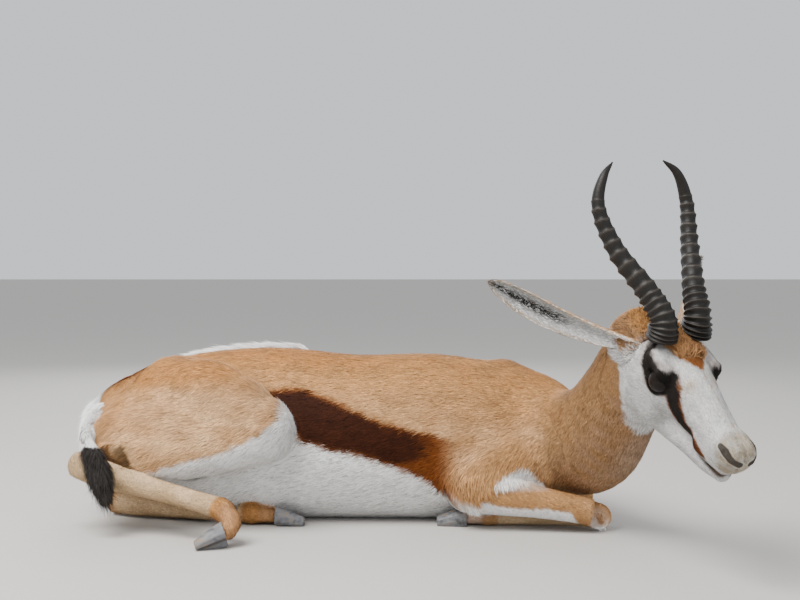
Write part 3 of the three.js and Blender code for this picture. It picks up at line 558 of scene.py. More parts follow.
def coat_colour(p):
    """The hide's and hair's colour at each place: trunk, haunch, legs, neck, tail, then head."""
    x, y, z = p.T
    phi = from_back(p)
    wavy = ripple(p, 46, 1)
    fine = ripple(p, 13, 2)
    c = np.tile(TAN, (len(p), 1))
    c = stain(c, WARM, (1 - smooth(phi, 26, 74)) * (0.85 - 0.45 * smooth(x, -120, 120)) + 0.12 * wavy)
    c = stain(c, PALE, smooth(phi, 60, 96) * (0.5 + 0.3 * wavy) * np.where(x < -160, 1.25, 0.75))
    top = np.interp(x, [-230, -182, -143, -111, -79, -36, 6, 48, 90],
                    [78, 72, 69, 75, 81, 90, 97, 101, 104])
    low = np.interp(x, [-230, -167, -140, -98, -56, -22, 2, 37, 60],
                    [104, 106, 113, 117, 118, 123, 126, 124, 118])
    edge = np.interp(x, [-420, -300, -200, -140, -98, -56, -22, 2, 30, 48, 69, 100, 150, 210, 260],
                     [128, 116, 108, 113, 117, 118, 123, 127, 132, 136, 143, 148, 153, 156, 150])
    c = stain(c, RUST, between(phi + 1.5 * fine, top - 1, edge + 1, 3) * smooth(x, -245, -215)
              * (1 - smooth(x, 62, 118)))
    c = stain(c, DARK, between(phi + 1.2 * fine, top + 2, low - 2, 2.5) * smooth(x, -240, -215)
              * (1 - smooth(x + 8 * fine, 26, 74)) * 0.96)
    c = stain(c, WHITE, smooth(phi + 1.6 * fine, edge - 2.2, edge + 2.2))
    fan = np.interp(x, [-460, -300, -150], [16, 10, 5])
    c = stain(c, WHITE, between(phi, -9, fan, 2.5) * (1 - smooth(x, -170, -120)))
    seat = smooth(-x - 440 + 0.5 * (y + 55) - 0.5 * np.maximum(z - 150, 0) + 4 * fine, 38, 48)
    c = stain(c, WHITE, seat * (z > 20))

    haunch_forms = (right_hind["shank"], right_hind["thigh"], right_hind["ham"], flap)
    haunch = np.min([form.distance(p) for form in haunch_forms], axis=0)
    haunch = smooth(-haunch, -16, -5) * (y < -20) * (1 - seat)
    ham = np.tile(TAN, (len(p), 1))
    ham = stain(ham, PALE, 0.62 + 0.25 * wavy - 0.7 * smooth(z, 205, 245))
    ham = stain(ham, WARM, smooth(z - 0.12 * x, 246, 280) * 0.7)
    ham = stain(ham, WARM, smooth(-x, 350, 450) * smooth(z, 120, 190) * 0.5)
    line = np.interp(x, [-440, -391, -354, -308, -272, -233, -209, -188, -175],
                     [84, 95, 106, 117, 126, 143, 154, 168, 182])
    ham = stain(ham, WHITE, smooth(line - z + 2.5 * fine, -3, 3) * smooth(x, -412, -378))
    ham = stain(ham, WHITE, smooth(x, -186, -176) * 0.9)
    c = c + (ham - c) * (haunch * smooth(x, -520, -500) * (z > 60))[:, None]
    shin = np.clip(within(right_hind["shank"], p, -6, 1) * (1 - smooth(x, -420, -385)), 0, 1)
    c = stain(c, BEIGE, shin * 0.9)
    for leg in REAR_FIRST:
        c = stain(c, BEIGE + 0.02 * wavy[:, None], within(leg["cannon"], p, -7, -2))
    for leg in REAR_FIRST:
        ankle = within(leg["pastern"], p, -9, -3) * np.where(x > 90, 0.7, 0.95)
        c = stain(c, ORANGE * (1 + 0.12 * fine[:, None]), ankle)
    c = stain(c, TAN, within(left_hind["shank"], p, -6, -1) * 0.8)
    forearm = right_fore["forearm"].distance(p)
    arm = smooth(-np.minimum(forearm, right_fore["upper"].distance(p) + 4), -9, -3) * (y < -70)
    sleeve = np.tile(TAN * 0.86, (len(p), 1))
    sleeve = stain(sleeve, TAN * [0.98, 1.04, 1.15], smooth(x, 262, 300) * 0.75)
    hem = np.interp(x, [60, 88, 116, 170, 222, 257, 276], [74, 60, 48, 38, 38, 33, 8])
    sleeve = stain(sleeve, WHITE, smooth(hem - z + 1.5 * fine, -2.5, 2.5))
    c = c + (sleeve - c) * (arm * smooth(x, 70, 110))[:, None]
    patch = np.interp(x, [138, 150, 162, 191, 204, 222, 232], [70, 84, 93, 105, 100, 80, 66])
    c = stain(c, WHITE, smooth(patch - z, -2, 3) * smooth(z, 62, 70) * (y < -90) * between(x, 142, 228, 5)
              * smooth(forearm, -4, 4))
    c = stain(c, TAN, within(left_fore["forearm"], p, -9, -3) * (y > 20) * 0.9)
    throat = within(neck, p, -12, -4)
    _, nu, nv, _, _, _, _ = neck.locate(p)
    # Painted shade: the neck is darkened by up to a third towards the head.
    c = c * (1 - 0.34 * throat * smooth(y, -90, -150))[:, None]
    c = stain(c, RUDDY * 0.62, throat * (0.4 + 0.25 * wavy) * (1 - smooth(nv, -50, 40)))
    c = stain(c, [0.34, 0.26, 0.2], throat * smooth(-nv, 44, 76) * smooth(z, 60, 140) * 0.5)
    c = stain(c, WHITE, within(tail, p, -6, -2))
    c = stain(c, WHITE, within(tuft_core, p, -9, -3))
    c = stain(c, BLACK, within(tuft_core, p, -11, -4) * smooth(132 - z, -4, 4))

    q = (p - POLL) @ HEAD
    hx, hy, hz = q[:, 0], np.abs(q[:, 1]), q[:, 2]
    on_head = (hx > -40) & (hx < 280) & (hy < 80) & (hz > -170) & (hz < 60)
    if on_head.any():
        q, hx, hy, hz, f = q[on_head], hx[on_head], hy[on_head], hz[on_head], fine[on_head]
        fold = in_head(p[on_head])
        h = c[on_head]
        rear = np.interp(hz, [-165, -150, -110, -73, -42, -18, 10, 40], [58, 48, 37, 29, 27, 50, 54, 58])
        face = smooth(hx + 2 * f, rear - 4, rear + 4)
        h = stain(h, [0.25, 0.14, 0.075], (1 - face) * smooth(hz, -70, -30) * (0.85 + 0.3 * f))
        # Painted shade: the face's white is painted at two thirds of the body's white.
        h = stain(h, WHITE * 0.66, face)
        half = np.interp(hx, [30, 60, 84, 107, 120, 132], [34, 30, 25, 15, 7, 0])
        patch = smooth(half - np.abs(q[:, 1] - 4) + 2 * f, -3, 3) * (hz > -12)
        h = stain(h, ORANGE * 1.12, patch * 0.95)
        h = stain(h, RUST * 1.1, patch * between(hx, 104, 132, 8) * 0.85)
        flat = np.column_stack([hx, np.zeros_like(hx), hz])
        stripe = ribbon(flat, EYE_STRIPE) + 1.2 * f
        side = smooth(hy, 10, 18)
        h = stain(h, RUST, smooth(-stripe, -4, 0.5) * side * (0.35 + 0.65 * smooth(hx, 118, 136)))
        h = stain(h, BLACK * 1.3, smooth(-stripe, -1, 3.5) * side * (1 - 0.75 * smooth(hx, 186, 208))
                  * (0.35 + 0.65 * smooth(hx, 52, 66)))
        spot = np.exp(-(((hx - 142) / 9) ** 2 + ((hy - 19) / 8) ** 2))
        h = stain(h, [0.45, 0.33, 0.2], 0.5 * spot * (hz > -14))
        h = stain(h, DUN, smooth(hx + 0.4 * hz, 208, 226) * (hz > -52) * (0.85 + 0.3 * f))
        specks = smooth(ripple(p[on_head], 7, 5), 0.35, 0.8)
        h = stain(h, DUN * 0.75, specks * smooth(hx, 205, 235) * (hz > -50) * 0.6)
        # Painted shade: the nostril openings are painted near black.
        h = stain(h, BLACK * 1.5, smooth(-ribbon(fold, NOSTRIL), -3, -0.8))
        # Painted shade: the mouth's slit is painted near black, with a softer dark band round it at the
        # front of the muzzle.
        h = stain(h, [0.03, 0.02, 0.015], smooth(-ribbon(fold, MOUTH), -5.5, -2))
        h = stain(h, [0.1, 0.07, 0.055], smooth(-ribbon(fold, MOUTH), -9, -4) * smooth(hx, 214, 232) * 0.6)
        r = np.linalg.norm(fold - EYE, axis=1)
        h = stain(h, BLACK, smooth(-r, -22.5, -19) * (hy > 30))
        c[on_head] = h
    grey = c.mean(1, keepdims=True)
    c = (grey + (c - grey) * 1.14) * (1 + 0.06 * wavy + 0.05 * fine)[:, None]
    return np.clip(c, 0.003, 0.9)


def paint(mesh, colours, name="coat_colour"):
    layer = mesh.attributes.new(name, "FLOAT_COLOR", "POINT")
    layer.data.foreach_set("color", np.column_stack([colours, np.ones(len(colours))]).ravel())


class Node:
    """A shader socket that takes part in Python expressions."""

    def __init__(self, tree, socket):
        self.tree, self.socket = tree, socket

    def maths(self, kind, a, b):
        node = self.tree.nodes.new("ShaderNodeMath")
        node.operation = kind
        for i, value in enumerate((a, b)):
            if isinstance(value, Node):
                self.tree.links.new(value.socket, node.inputs[i])
            else:
                node.inputs[i].default_value = value
        return Node(self.tree, node.outputs[0])

    def __add__(self, other):
        return self.maths("ADD", self, other)

    def __radd__(self, other):
        return self.maths("ADD", other, self)

    def __sub__(self, other):
        return self.maths("SUBTRACT", self, other)

    def __rsub__(self, other):
        return self.maths("SUBTRACT", other, self)

    def __mul__(self, other):
        return self.maths("MULTIPLY", self, other)

    def __rmul__(self, other):
        return self.maths("MULTIPLY", other, self)


class Finish:
    """A material whose nodes are added one by one to its Principled shader."""

    def __init__(self, name, **constants):
        self.material = bpy.data.materials.new(name)
        self.material.use_nodes = True
        self.tree = self.material.node_tree
        self.shader = self.tree.nodes["Principled BSDF"]
        for socket, value in constants.items():
            self.shader.inputs[socket.replace("_", " ")].default_value = value

    def node(self, kind, settings=None, output=0, **sockets):
        node = self.tree.nodes.new(kind)
        for key, value in (settings or {}).items():
            if key == "stops":
                while len(node.color_ramp.elements) < len(value):
                    node.color_ramp.elements.new(0.5)
                for element, (at, colour) in zip(node.color_ramp.elements, value):
                    element.position = at
                    element.color = (*colour, 1)
            else:
                setattr(node, key, value)
        for key, value in sockets.items():
            numbered = key[0] == "i" and key[1:].isdigit()
            socket = node.inputs[int(key[1:]) if numbered else key.replace("_", " ")]
            if isinstance(value, Node):
                self.tree.links.new(value.socket, socket)
            else:
                socket.default_value = value
        return Node(self.tree, node.outputs[output])

    def feed(self, socket, value):
        self.tree.links.new(value.socket, self.shader.inputs[socket])


hide = Finish("short_hair", Roughness=0.72)
hide.shader.inputs["Specular IOR Level"].default_value = 0.1
spot = hide.node("ShaderNodeTexCoord", output=3)
tint = hide.node("ShaderNodeAttribute", {"attribute_name": "coat_colour"})
stretched = hide.node("ShaderNodeMapping", Vector=spot, Scale=(260, 700, 900))
strands = hide.node("ShaderNodeTexNoise", Vector=stretched, Scale=1.0, Detail=3.0)
level = strands * 0.7 + 0.62
grey = hide.node("ShaderNodeCombineColor", i0=level, i1=level, i2=level)
shade = hide.node("ShaderNodeMix", {"data_type": "RGBA", "blend_type": "MULTIPLY"}, output=2, i0=1.0,
                  i6=tint, i7=grey)
hide.feed("Base Color", shade)
hide.feed("Normal", hide.node("ShaderNodeBump", Height=strands, Strength=0.5, Distance=0.001))

p = to_body(places(skin.data))
paint(skin.data, coat_colour(p))
skin.data.materials.clear()
skin.data.materials.append(hide.material)
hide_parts(*FLESH)
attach(skin, "root")

# Ears
# Two long pointed leaves of gristle, hollow towards the camera on the right one, thinly haired
# inside and tan behind. They grow out of the head and belong to the same hide.
EAR_WIDTH = 46
EAR_ROOT = (20.0, 42, -30)
EAR_BENDS = {-1: (207, -255, 330), 1: (430, -262, 372)}


def bezier(base, middle, tip, t):
    t = np.asarray(t)[:, None]
    return base * (1 - t) ** 2 + middle * 2 * t * (1 - t) + tip * t ** 2


def ear_root(side):
    return HEAD @ (np.array(EAR_ROOT) * [1, side, 1]) + POLL


def turned_grid(name, points, around):
    """A closed piece from rings of points, capped at both ends, in smooth shading."""
    rings = len(points) // around
    faces = []
    for i in range(rings - 1):
        here, there = i * around, (i + 1) * around
        faces += [(here + j, here + (j + 1) % around, there + (j + 1) % around, there + j)
                  for j in range(around)]
    faces += [tuple(range(around))[::-1], tuple(range((rings - 1) * around, rings * around))]
    mesh = bpy.data.meshes.new(name)
    mesh.from_pydata(to_world(points).tolist(), [], faces)
    piece = bpy.data.objects.new(name, mesh)
    bpy.context.collection.objects.link(piece)
    pick_out(piece)
    on_mesh(bpy.ops.mesh.normals_make_consistent, inside=False)
    bpy.ops.object.shade_smooth()
    return piece


def blend(a, b, share):
    return a + (np.array(b) - a) * share


def ear(name, side, tip, opening):
    """A leaf from a grid of rows along it and of inner and outer faces, with its unwrap and lie."""
    base = ear_root(side)
    middle, tip, opening = (np.array(v, float) for v in (EAR_BENDS[side], tip, opening))
    rows, columns = ((64, 22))
    at = np.linspace(-0.1, 1, rows + 1)
    spine = bezier(base, middle, tip, at)
    along = unit(np.gradient(spine, axis=0))
    front = unit(opening - along * (along @ opening)[:, None])
    across = np.cross(along, front)
    outline = (0.62 + 1.5 * at - 0.9 * at ** 2) * np.sqrt(1 - np.maximum(at, 0) ** 3.2) * 0.9
    half = EAR_WIDTH / 2 * np.maximum(0.05, outline) - 0.8
    curl = 0.95 - 0.35 * at
    wall = np.maximum(0.9, 3.4 * (1 - 0.75 * at))
    points, colours, flat, lies = [], [], [], []
    for i in range(rows + 1):
        for face in (0, 1):
            for j in range(columns + 1):
                s = j / columns if face == 0 else 1 - j / columns
                a = (s - 0.5) * math.pi * curl[i]
                reach = half[i] / math.sin(math.pi * 0.5 * curl[i])
                place = (spine[i] + across[i] * math.sin(a) * reach
                         + front[i] * (0.35 - 0.8 * math.cos(a)) * reach)
                edge = min(s, 1 - s) * 2
                if face:
                    place = (place + front[i] * wall[i] * min(1, edge * 5 + 0.12)
                             - across[i] * math.sin(a) * wall[i] * 0.3)
                points.append(place)
                flat.append((0.08 + at[i] * 0.9, 0.02 + (s * 0.46 if face == 0 else 0.5 + s * 0.46)))
                lies.append(along[i] + (across[i] * (0.5 - s) * 0.9 if face else 0))
                rim = 1 - smooth(edge, 0.05, 0.3)
                if face:
                    tone = WHITE * (0.42 + 0.16 * (1 - at[i]))
                    streak = smooth(at[i], 0.3, 0.45) * (1 - smooth(at[i], 0.93, 1))
                    streak = streak * between(s if side < 0 else 1 - s, 0.3, 0.62, 0.1)
                    tone = blend(tone, BLACK, streak * 0.97)
                    tone = blend(tone, [0.4, 0.27, 0.15], rim * (0.4 + 0.5 * at[i]))
                else:
                    tone = TAN * 0.92 + (BEIGE - TAN) * 0.35 * (1 - edge)
                colours.append(blend(tone, [0.12, 0.08, 0.05], smooth(at[i], 0.9, 1) * 0.7))
    leaf = turned_grid(name, np.array(points), 2 * (columns + 1))
    paint(leaf.data, np.array(colours))
    return leaf, np.array(flat), unit(np.array(lies))


head_count = len(skin.data.vertices)
ear_right, flat_right, lie_right = ear("ear_leaf_right", -1, (130, -250, 385), (-0.1, -0.86, -0.5))
ear_left, flat_left, lie_left = ear("ear_leaf_left", 1, (451, -196, 420), (0.85, -0.5, -0.1))
pick_out(skin, ear_right, ear_left)
bpy.ops.object.join()
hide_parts(*FLESH, "ear_right", "ear_left")

# Coat
# Short flat hair in overlapping tufts that lie from head to tail and down the legs, longer
# on the rump, along the back's white fan and on the tail. Each tuft is one thin blade.
TUFT_SHARE = 1.0
EVENING = 60
skin_points = to_body(places(skin.data))
skin_normals = normals_of(skin.data)

# The lie of the coat, evened out over the mesh so that it turns gently
drift = np.zeros((head_count, 3))
body(skin_points[:head_count], False, drift)
drift = unit(drift)
edges = np.empty(len(skin.data.edges) * 2, int)
skin.data.edges.foreach_get("vertices", edges)
edges = edges.reshape(-1, 2)
edges = edges[(edges < head_count).all(1)]
ends = np.concatenate([edges[:, 0], edges[:, 1]])
others = np.concatenate([edges[:, 1], edges[:, 0]])
for _ in range(EVENING):
    pull = [np.bincount(ends, drift[others, k], head_count) for k in range(3)]
    drift = unit(drift + np.column_stack(pull))
flow = np.vstack([drift, lie_right, lie_left])
flow = unit(flow - skin_normals * (flow * skin_normals).sum(1, keepdims=True))
ear_flat = np.vstack([np.zeros((head_count, 2)), flat_right, flat_left])
skin_colours = np.empty(len(skin_points) * 4)
skin.data.attributes["coat_colour"].data.foreach_get("color", skin_colours)
skin_colours = skin_colours.reshape(-1, 4)[:, :3]

skin.data.calc_loop_triangles()
triangles = np.empty(len(skin.data.loop_triangles) * 3, int)
skin.data.loop_triangles.foreach_get("vertices", triangles)
triangles = triangles.reshape(-1, 3)
corners = skin_points[triangles]
areas = np.linalg.norm(np.cross(corners[:, 1] - corners[:, 0], corners[:, 2] - corners[:, 0]), axis=1) / 2
centres = corners.mean(1)
x, y, z = centres.T
head_x, head_y, head_z = ((centres - POLL) @ HEAD).T

# Which region each triangle belongs to, and where no hair grows
in_ear = triangles[:, 0] >= head_count
in_skull = ((head_x > -6) & (head_x < 280) & (np.abs(head_y) < 70) & (head_z > -135 - 0.25 * head_x)
            & (head_z < 50) & ~in_ear)
LOWER = [leg[bone] for leg in REAR_FIRST for bone in ("cannon", "pastern")]
LOWER += [right_hind["shank"], left_hind["shank"], right_fore["forearm"], left_fore["forearm"]]
lower_distance = np.min([limb.distance(centres) for limb in LOWER], axis=0)
upper_distance = np.min([limb.distance(centres) for limb in MASS], axis=0)
in_leg = (lower_distance < upper_distance - 1) & ~in_ear & ~in_skull
tail_distance = np.minimum(tail.distance(centres), tuft_core.distance(centres))
in_tail = (tail_distance < np.minimum(lower_distance, upper_distance)) & ~in_ear & ~in_skull
in_leg &= ~in_tail
above_hock = right_hind["shank"].distance(centres) < right_hind["cannon"].distance(centres) - 2
in_leg &= ~(above_hock & (x > -446) & (z > 92))
in_trunk = ~(in_ear | in_skull | in_leg | in_tail)
in_neck = (neck.distance(centres) < trunk.distance(centres) - 4) & (y < -70) & in_trunk
in_trunk &= ~in_neck
on_right = y < -20
bare = z < 2.2
bare |= (np.linalg.norm(in_head(centres) - EYE, axis=1) < EYE_RADIUS + 1.2) & in_skull
bare |= ((ribbon(in_head(centres), NOSTRIL) < 3.2) | (ribbon(in_head(centres), MOUTH) < 2)) & in_skull
rng = np.random.default_rng(11)


def sample(mask, count):
    """Random roots over the picked triangles: place, normal, lie, colour and unwrap of each."""
    weight = np.where(mask & ~bare, areas, 0)
    pick = rng.choice(len(weight), int(count * TUFT_SHARE), p=weight / weight.sum())
    a, b = rng.random((2, len(pick), 1))
    a, b = np.where(a + b > 1, 1 - a, a), np.where(a + b > 1, 1 - b, b)

    def spread(values):
        v = values[triangles[pick]]
        return v[:, 0] + (v[:, 1] - v[:, 0]) * a + (v[:, 2] - v[:, 0]) * b

    return (spread(skin_points), unit(spread(skin_normals)), unit(spread(flow)), spread(skin_colours),
            spread(ear_flat))


def unwrap(p, limbs, head=False):
    """Place of each root on the hide unrolled round its nearest form."""
    q = (p - POLL) @ HEAD if head else p
    best = np.full(len(p), np.inf)
    out = np.zeros((len(p), 2))
    for k, limb in enumerate(limbs):
        t, u, v, _, width, depth, _ = limb.locate(q)
        d = np.hypot(u / width, v / depth)
        near = d < best
        best[near] = d[near]
        turn = np.arctan2(u, v) / (2 * math.pi) + 0.5
        out[near] = np.column_stack([0.02 + 0.96 * t, (k + 0.03 + 0.94 * turn) / len(limbs)])[near]
    return out


SUNK = 0.3
DROOP = 0.5
PATCH = 0.003
# Tones of a blade's corners from root to tip: the root painted darker as painted shade deep in the coat,
# the tip lighter.
BLADE_SHADE_ROOT_TO_TIP = np.array([0.7, 0.7, 1.0, 1.0, 1.12])


def tufts(name, roots, normals, lie, colours, flat, length, width, lift, spread=0.16, face=None):
    """Joined blades: a root edge, a middle edge and a tip, lying along the hide."""
    n = len(roots)
    lie = unit(lie + rng.normal(0, spread, (n, 3)))
    lie = unit(lie - normals * (lie * normals).sum(1, keepdims=True))
    across = unit(np.cross(lie, normals if face is None else unit(normals + face)))
    length = (length * rng.uniform(0.7, 1.2, n))[:, None]
    half = (width * rng.uniform(0.7, 1.25, n))[:, None] / 2
    lift = (lift * rng.uniform(0.5, 1.3, n))[:, None]
    base = roots - normals * SUNK
    middle = base + lie * length * 0.5 + normals * (lift + SUNK)
    tip = base + lie * length + normals * (lift * (1 + DROOP) * 0.75 + SUNK)
    tip = tip + across * rng.normal(0, 0.06, (n, 1)) * length
    points = np.stack([base + across * -half, base + across * half, middle + across * half * 0.85,
                       middle - across * half * 0.85, tip], 1).reshape(-1, 3)
    points[:, 2] = np.maximum(points[:, 2], 0.3)
    mesh = bpy.data.meshes.new(name)
    mesh.vertices.add(n * 5)
    mesh.vertices.foreach_set("co", to_world(points).ravel())
    mesh.loops.add(n * 7)
    order = (np.arange(n)[:, None] * 5 + np.array([0, 1, 2, 3, 3, 2, 4])).ravel()
    mesh.loops.foreach_set("vertex_index", order)
    mesh.polygons.add(n * 2)
    mesh.polygons.foreach_set("loop_start", (np.arange(n)[:, None] * 7 + np.array([0, 4])).ravel())
    mesh.update(calc_edges=True)
    mesh.validate()
    unrolled = mesh.uv_layers.new(name="OFBake")
    corner = np.array([(-1, -1), (1, -1), (1, 0.2), (-1, 0.2), (-1, 0.2), (1, 0.2), (0, 1)]) * PATCH / 2
    unrolled.data.foreach_set("uv", (flat[:, None, :] + corner).ravel())
    beside = roots - lie * (roots * lie).sum(1, keepdims=True) * 0.85
    streak = 1 + 0.24 * ripple(beside, 9, 8) + 0.08 * ripple(roots, 34, 9)
    tone = colours * (np.clip(rng.normal(1, 0.2, n), 0.45, 1.6) * streak)[:, None]
    # Each blade is painted darker at its root, as painted shade among the hairs, and lighter at its tip.
    shades = np.clip(tone[:, None, :] * BLADE_SHADE_ROOT_TO_TIP[None, :, None], 0.003, 0.95)
    paint(mesh, shades.reshape(-1, 3))
    mesh.polygons.foreach_set("use_smooth", np.ones(n * 2, bool))
    coat = bpy.data.objects.new(name, mesh)
    bpy.context.collection.objects.link(coat)
    mesh.materials.append(fur.material)
    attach(coat, "root")


fur = Finish("hair_tufts", Roughness=0.62)
fur.shader.inputs["Specular IOR Level"].default_value = 0.1
fur.feed("Base Color", fur.node("ShaderNodeAttribute", {"attribute_name": "coat_colour"}))

wide = 1.0
for name, mask, count, limbs in (
        ("coat_flank_right", in_trunk & on_right & (x > -150), 62000, [trunk]),
        ("coat_haunch_right", in_trunk & on_right & (x <= -150), 62000, [trunk]),
        ("coat_back", in_trunk & ~on_right & (z > 130), 56000, [trunk]),
        ("coat_flank_left", in_trunk & ~on_right & (z <= 130), 46000, [trunk]),
        ("coat_neck", in_neck, 52000, [neck])):
    p, n, lie, _, _ = sample(mask, count)
    under = smooth(from_back(p), 100, 130)
    length = (12 if name == "coat_neck" else 16) + 3 * under
    tufts(name, p, n, lie, coat_colour(p), unwrap(p, limbs), length, (0.95 + 0.25 * under) * wide,
          1.5 + 0.7 * under)

for name, mask, count in (("coat_head_right", in_skull & (head_y < 0), 62000),
                          ("coat_head_left", in_skull & (head_y >= 0), 46000)):
    p, n, lie, _, _ = sample(mask, count)
    q = in_head(p)
    crown = (1 - smooth(q[:, 0], 50, 75)) * smooth(q[:, 2], -60, -20)
    muzzle = smooth(q[:, 0], 200, 225)
    length = 5 + 5 * crown - 2.2 * muzzle
    width = (0.6 + 0.3 * crown - 0.1 * muzzle) * wide
    tufts(name, p, n, lie, coat_colour(p), unwrap(p, [skull], True), length, width,
          0.7 + 1.2 * crown - 0.35 * muzzle)

p, n, lie, _, _ = sample(in_leg, 60000)
tufts("coat_legs", p, n, lie, coat_colour(p), unwrap(p, LOWER), 5.5, 0.75 * wide, 0.7)
p, n, lie, colours, flat = sample(in_ear, 26000)
tufts("coat_ears", p, n, lie, colours, flat, 6.5, 0.6 * wide, 0.8, 0.2)

# Long hair
# The white fan folded along the back, the spiky white hair round the rump, the hair of the
# tail and its black tuft that hangs over the hock.
fan_roots = in_trunk & (x < -150) & (x > -345) & (np.abs(trunk.locate(centres)[1]) < 14) & (z > 150)
p, n, lie, _, _ = sample(fan_roots, 4200)
# The fan's white is painted brighter than the body's white, as painted light.
snow = np.tile(WHITE * 1.15, (len(p), 1))
tufts("fan_hair", p, n, lie, snow, unwrap(p, [trunk]), 30, 1.0 * wide, 9, 0.2, np.array([0, -3, 0]))
rump = in_trunk & (-x - 440 + 0.5 * (y + 55) > 36) & (z > 50) & (z < 188)
p, n, lie, _, _ = sample(rump, 7000)
# The rump hair's white is painted brighter than the body's white, as painted light.
snow = np.tile(WHITE * 1.15, (len(p), 1))
tufts("rump_hair", p, n, lie + np.array([-0.7, 0, -0.5]), snow, unwrap(p, [trunk]), 34, 1.0 * wide, 13, 0.4,
      np.array([0, -1.6, 0]))
tuft_roots = in_tail & (tuft_core.distance(centres) < tail.distance(centres)) & (z < 134)
p, n, lie, _, _ = sample(in_tail & ~tuft_roots, 5000)
tufts("tail_hair", p, n, lie, coat_colour(p), unwrap(p, [tail]), 14, 0.8 * wide, 1.6)
p, n, lie, _, _ = sample(tuft_roots, 6500)
dark = np.array([0.014, 0.012, 0.011])[None, :] * rng.uniform(0.6, 3.4, (len(p), 1))
tufts("tail_tuft_hair", p, n, lie + np.array([-0.05, 0, -0.5]), dark, unwrap(p, [tuft_core]), 25,
      0.8 * wide, 7, 0.3)
p, n, lie, _, _ = sample(tuft_roots & (z < 100), 260)
tufts("tail_long_hair", p, n, lie + np.array([0.05, 0, -0.8]), dark[:len(p)], unwrap(p, [tuft_core]), 42,
      0.6, 6, 0.25)

# Crown hair
# Longer hair that stands over the horn bases, on the poll and round the roots of the ears.
forelock = in_skull & (head_x > 58) & (head_x < 104) & (np.abs(head_y - 4) < 19) & (head_z > -18)
p, n, lie, _, _ = sample(forelock, 5200)
tones = ORANGE * rng.uniform(0.7, 1.4, (len(p), 1))
tufts("forelock_hair", p, n, lie * 0.3 + np.array([0, 0, 0.9]), tones, unwrap(p, [skull], True), 16,
      0.8 * wide, 7, 0.4)
poll = in_skull & (head_x < 52) & (head_z > -36)
p, n, lie, _, _ = sample(poll, 7000)
tones = coat_colour(p) * np.where(rng.random((len(p), 1)) < 0.3, 0.3, 0.95)
tufts("poll_hair", p, n, lie, tones, unwrap(p, [skull], True), 14, 0.8 * wide, 5, 0.5)
for side, name in ((-1, "right"), (1, "left")):
    root = ear_root(side)
    p, n, lie, _, _ = sample(in_skull & (np.linalg.norm(centres - root, axis=1) < 30), 3200)
    grey = WHITE * 0.62 * rng.uniform(0.45, 1.1, (len(p), 1))
    brown = np.array([0.24, 0.135, 0.07]) * rng.uniform(0.4, 1.3, (len(p), 1))
    tones = np.where((((p - POLL) @ HEAD)[:, 2] < -36)[:, None], grey, brown)
    outwards = unit(bezier(root, np.array(EAR_BENDS[side]), root, [0.1])[0] - root)
    tufts("ear_root_hair_" + name, p, n, lie * 0.3 + outwards, tones, unwrap(p, [skull], True), 15,
          0.7 * wide, 4, 0.35)

# Horns
# Two lyre-shaped horns of dark keratin, ringed for two thirds of their length and smooth at
# the hooked tips. Each is one turned sheath, its rings strongest in front.
HORN_PATH = [(68, 26, 14), (58, 27, 38), (22, 36, 56), (-44, 60, 82), (-94, 71, 118), (-118, 59, 147),
             (-133, 41, 158)]
HORN_RADIUS = 23
RINGS = 18
RINGED_SHARE = 0.7
RING_CREST = 0.68
HORN_DEPTH = 0.84
keratin = Finish("horn_keratin", Roughness=0.5)
keratin.shader.inputs["Specular IOR Level"].default_value = 0.28
spot = keratin.node("ShaderNodeTexCoord", output=3)
grain = keratin.node("ShaderNodeTexNoise", Vector=spot, Scale=420.0, Detail=5.0)
ridge = keratin.node("ShaderNodeAttribute", {"attribute_name": "ridge"}, output=2)
# The sheath is painted lighter on the crests of its rings, partly as wear and partly as painted highlight,
# and darker between them.
HORN_TONES = [(0.0, (0.003, 0.0025, 0.002)), (0.55, (0.012, 0.0095, 0.0075)), (1.0, (0.055, 0.045, 0.037))]
crest_wear_and_highlight = keratin.node("ShaderNodeValToRGB", {"stops": HORN_TONES}, Fac=ridge * 0.75 + grain * 0.5 - 0.12)
keratin.feed("Base Color", crest_wear_and_highlight)
keratin.feed("Roughness", grain * 0.25 + 0.38)
keratin.feed("Normal", keratin.node("ShaderNodeBump", Height=grain, Strength=0.35, Distance=0.0008))

for side, name in ((-1, "right"), (1, "left")):
    path = (np.array(HORN_PATH) * [1, side, 1]) @ HEAD.T + POLL
    rows, columns = ((300, 44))
    at = np.linspace(0, 1, rows)
    spine = curve(path, at)
    along = unit(curve(path, at + 1e-4) - curve(path, at - 1e-4))
    b = np.array([0, side, 0]) @ HEAD.T
    b = unit(b - along * (along @ b)[:, None])
    a = np.cross(b, along)
    taper = HORN_RADIUS * np.maximum(0.06, np.maximum(0, 1 - at) ** 0.62 * (1 - 0.12 * at))
    angle = np.arange(columns) / columns * 2 * math.pi
    wobble = 0.22 * np.sin(angle * 2 + 1.3)[None, :] + 0.1 * np.sin(angle * 5 + at[:, None] * 40)
    shifted = np.clip((at[:, None] + 0.006 * wobble) / RINGED_SHARE, 0, 1) ** 0.92 * RINGS % 1
    rising, falling = shifted / RING_CREST, (1 - shifted) / 0.32
    relief = np.where(shifted < RING_CREST, rising, falling) ** 2.0 - 0.4
    relief *= ((1 - smooth(at, 0.62, 0.74)) * smooth(at, 0.0, 0.03))[:, None]
    front = 0.72 + 0.28 * np.cos(angle)[None, :]
    fluting = 0.12 * np.sin(angle * 17)[None, :] * smooth(at, 0.5, 0.8)[:, None]
    radius = taper[:, None] * (0.965 + 0.23 * relief * front) + fluting
    points = (spine[:, None] + a[:, None] * (np.cos(angle)[None, :] * radius)[..., None]
              + b[:, None] * (np.sin(angle)[None, :] * radius * HORN_DEPTH)[..., None]).reshape(-1, 3)
    sheath = turned_grid("horn_sheath_" + name, points, columns)
    layer = sheath.data.attributes.new("ridge", "FLOAT", "POINT")
    layer.data.foreach_set("value", np.clip(0.45 + relief, 0, 1).ravel())
    sheath.data.materials.append(keratin.material)
    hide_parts("horn_" + name)
    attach(sheath, "root")

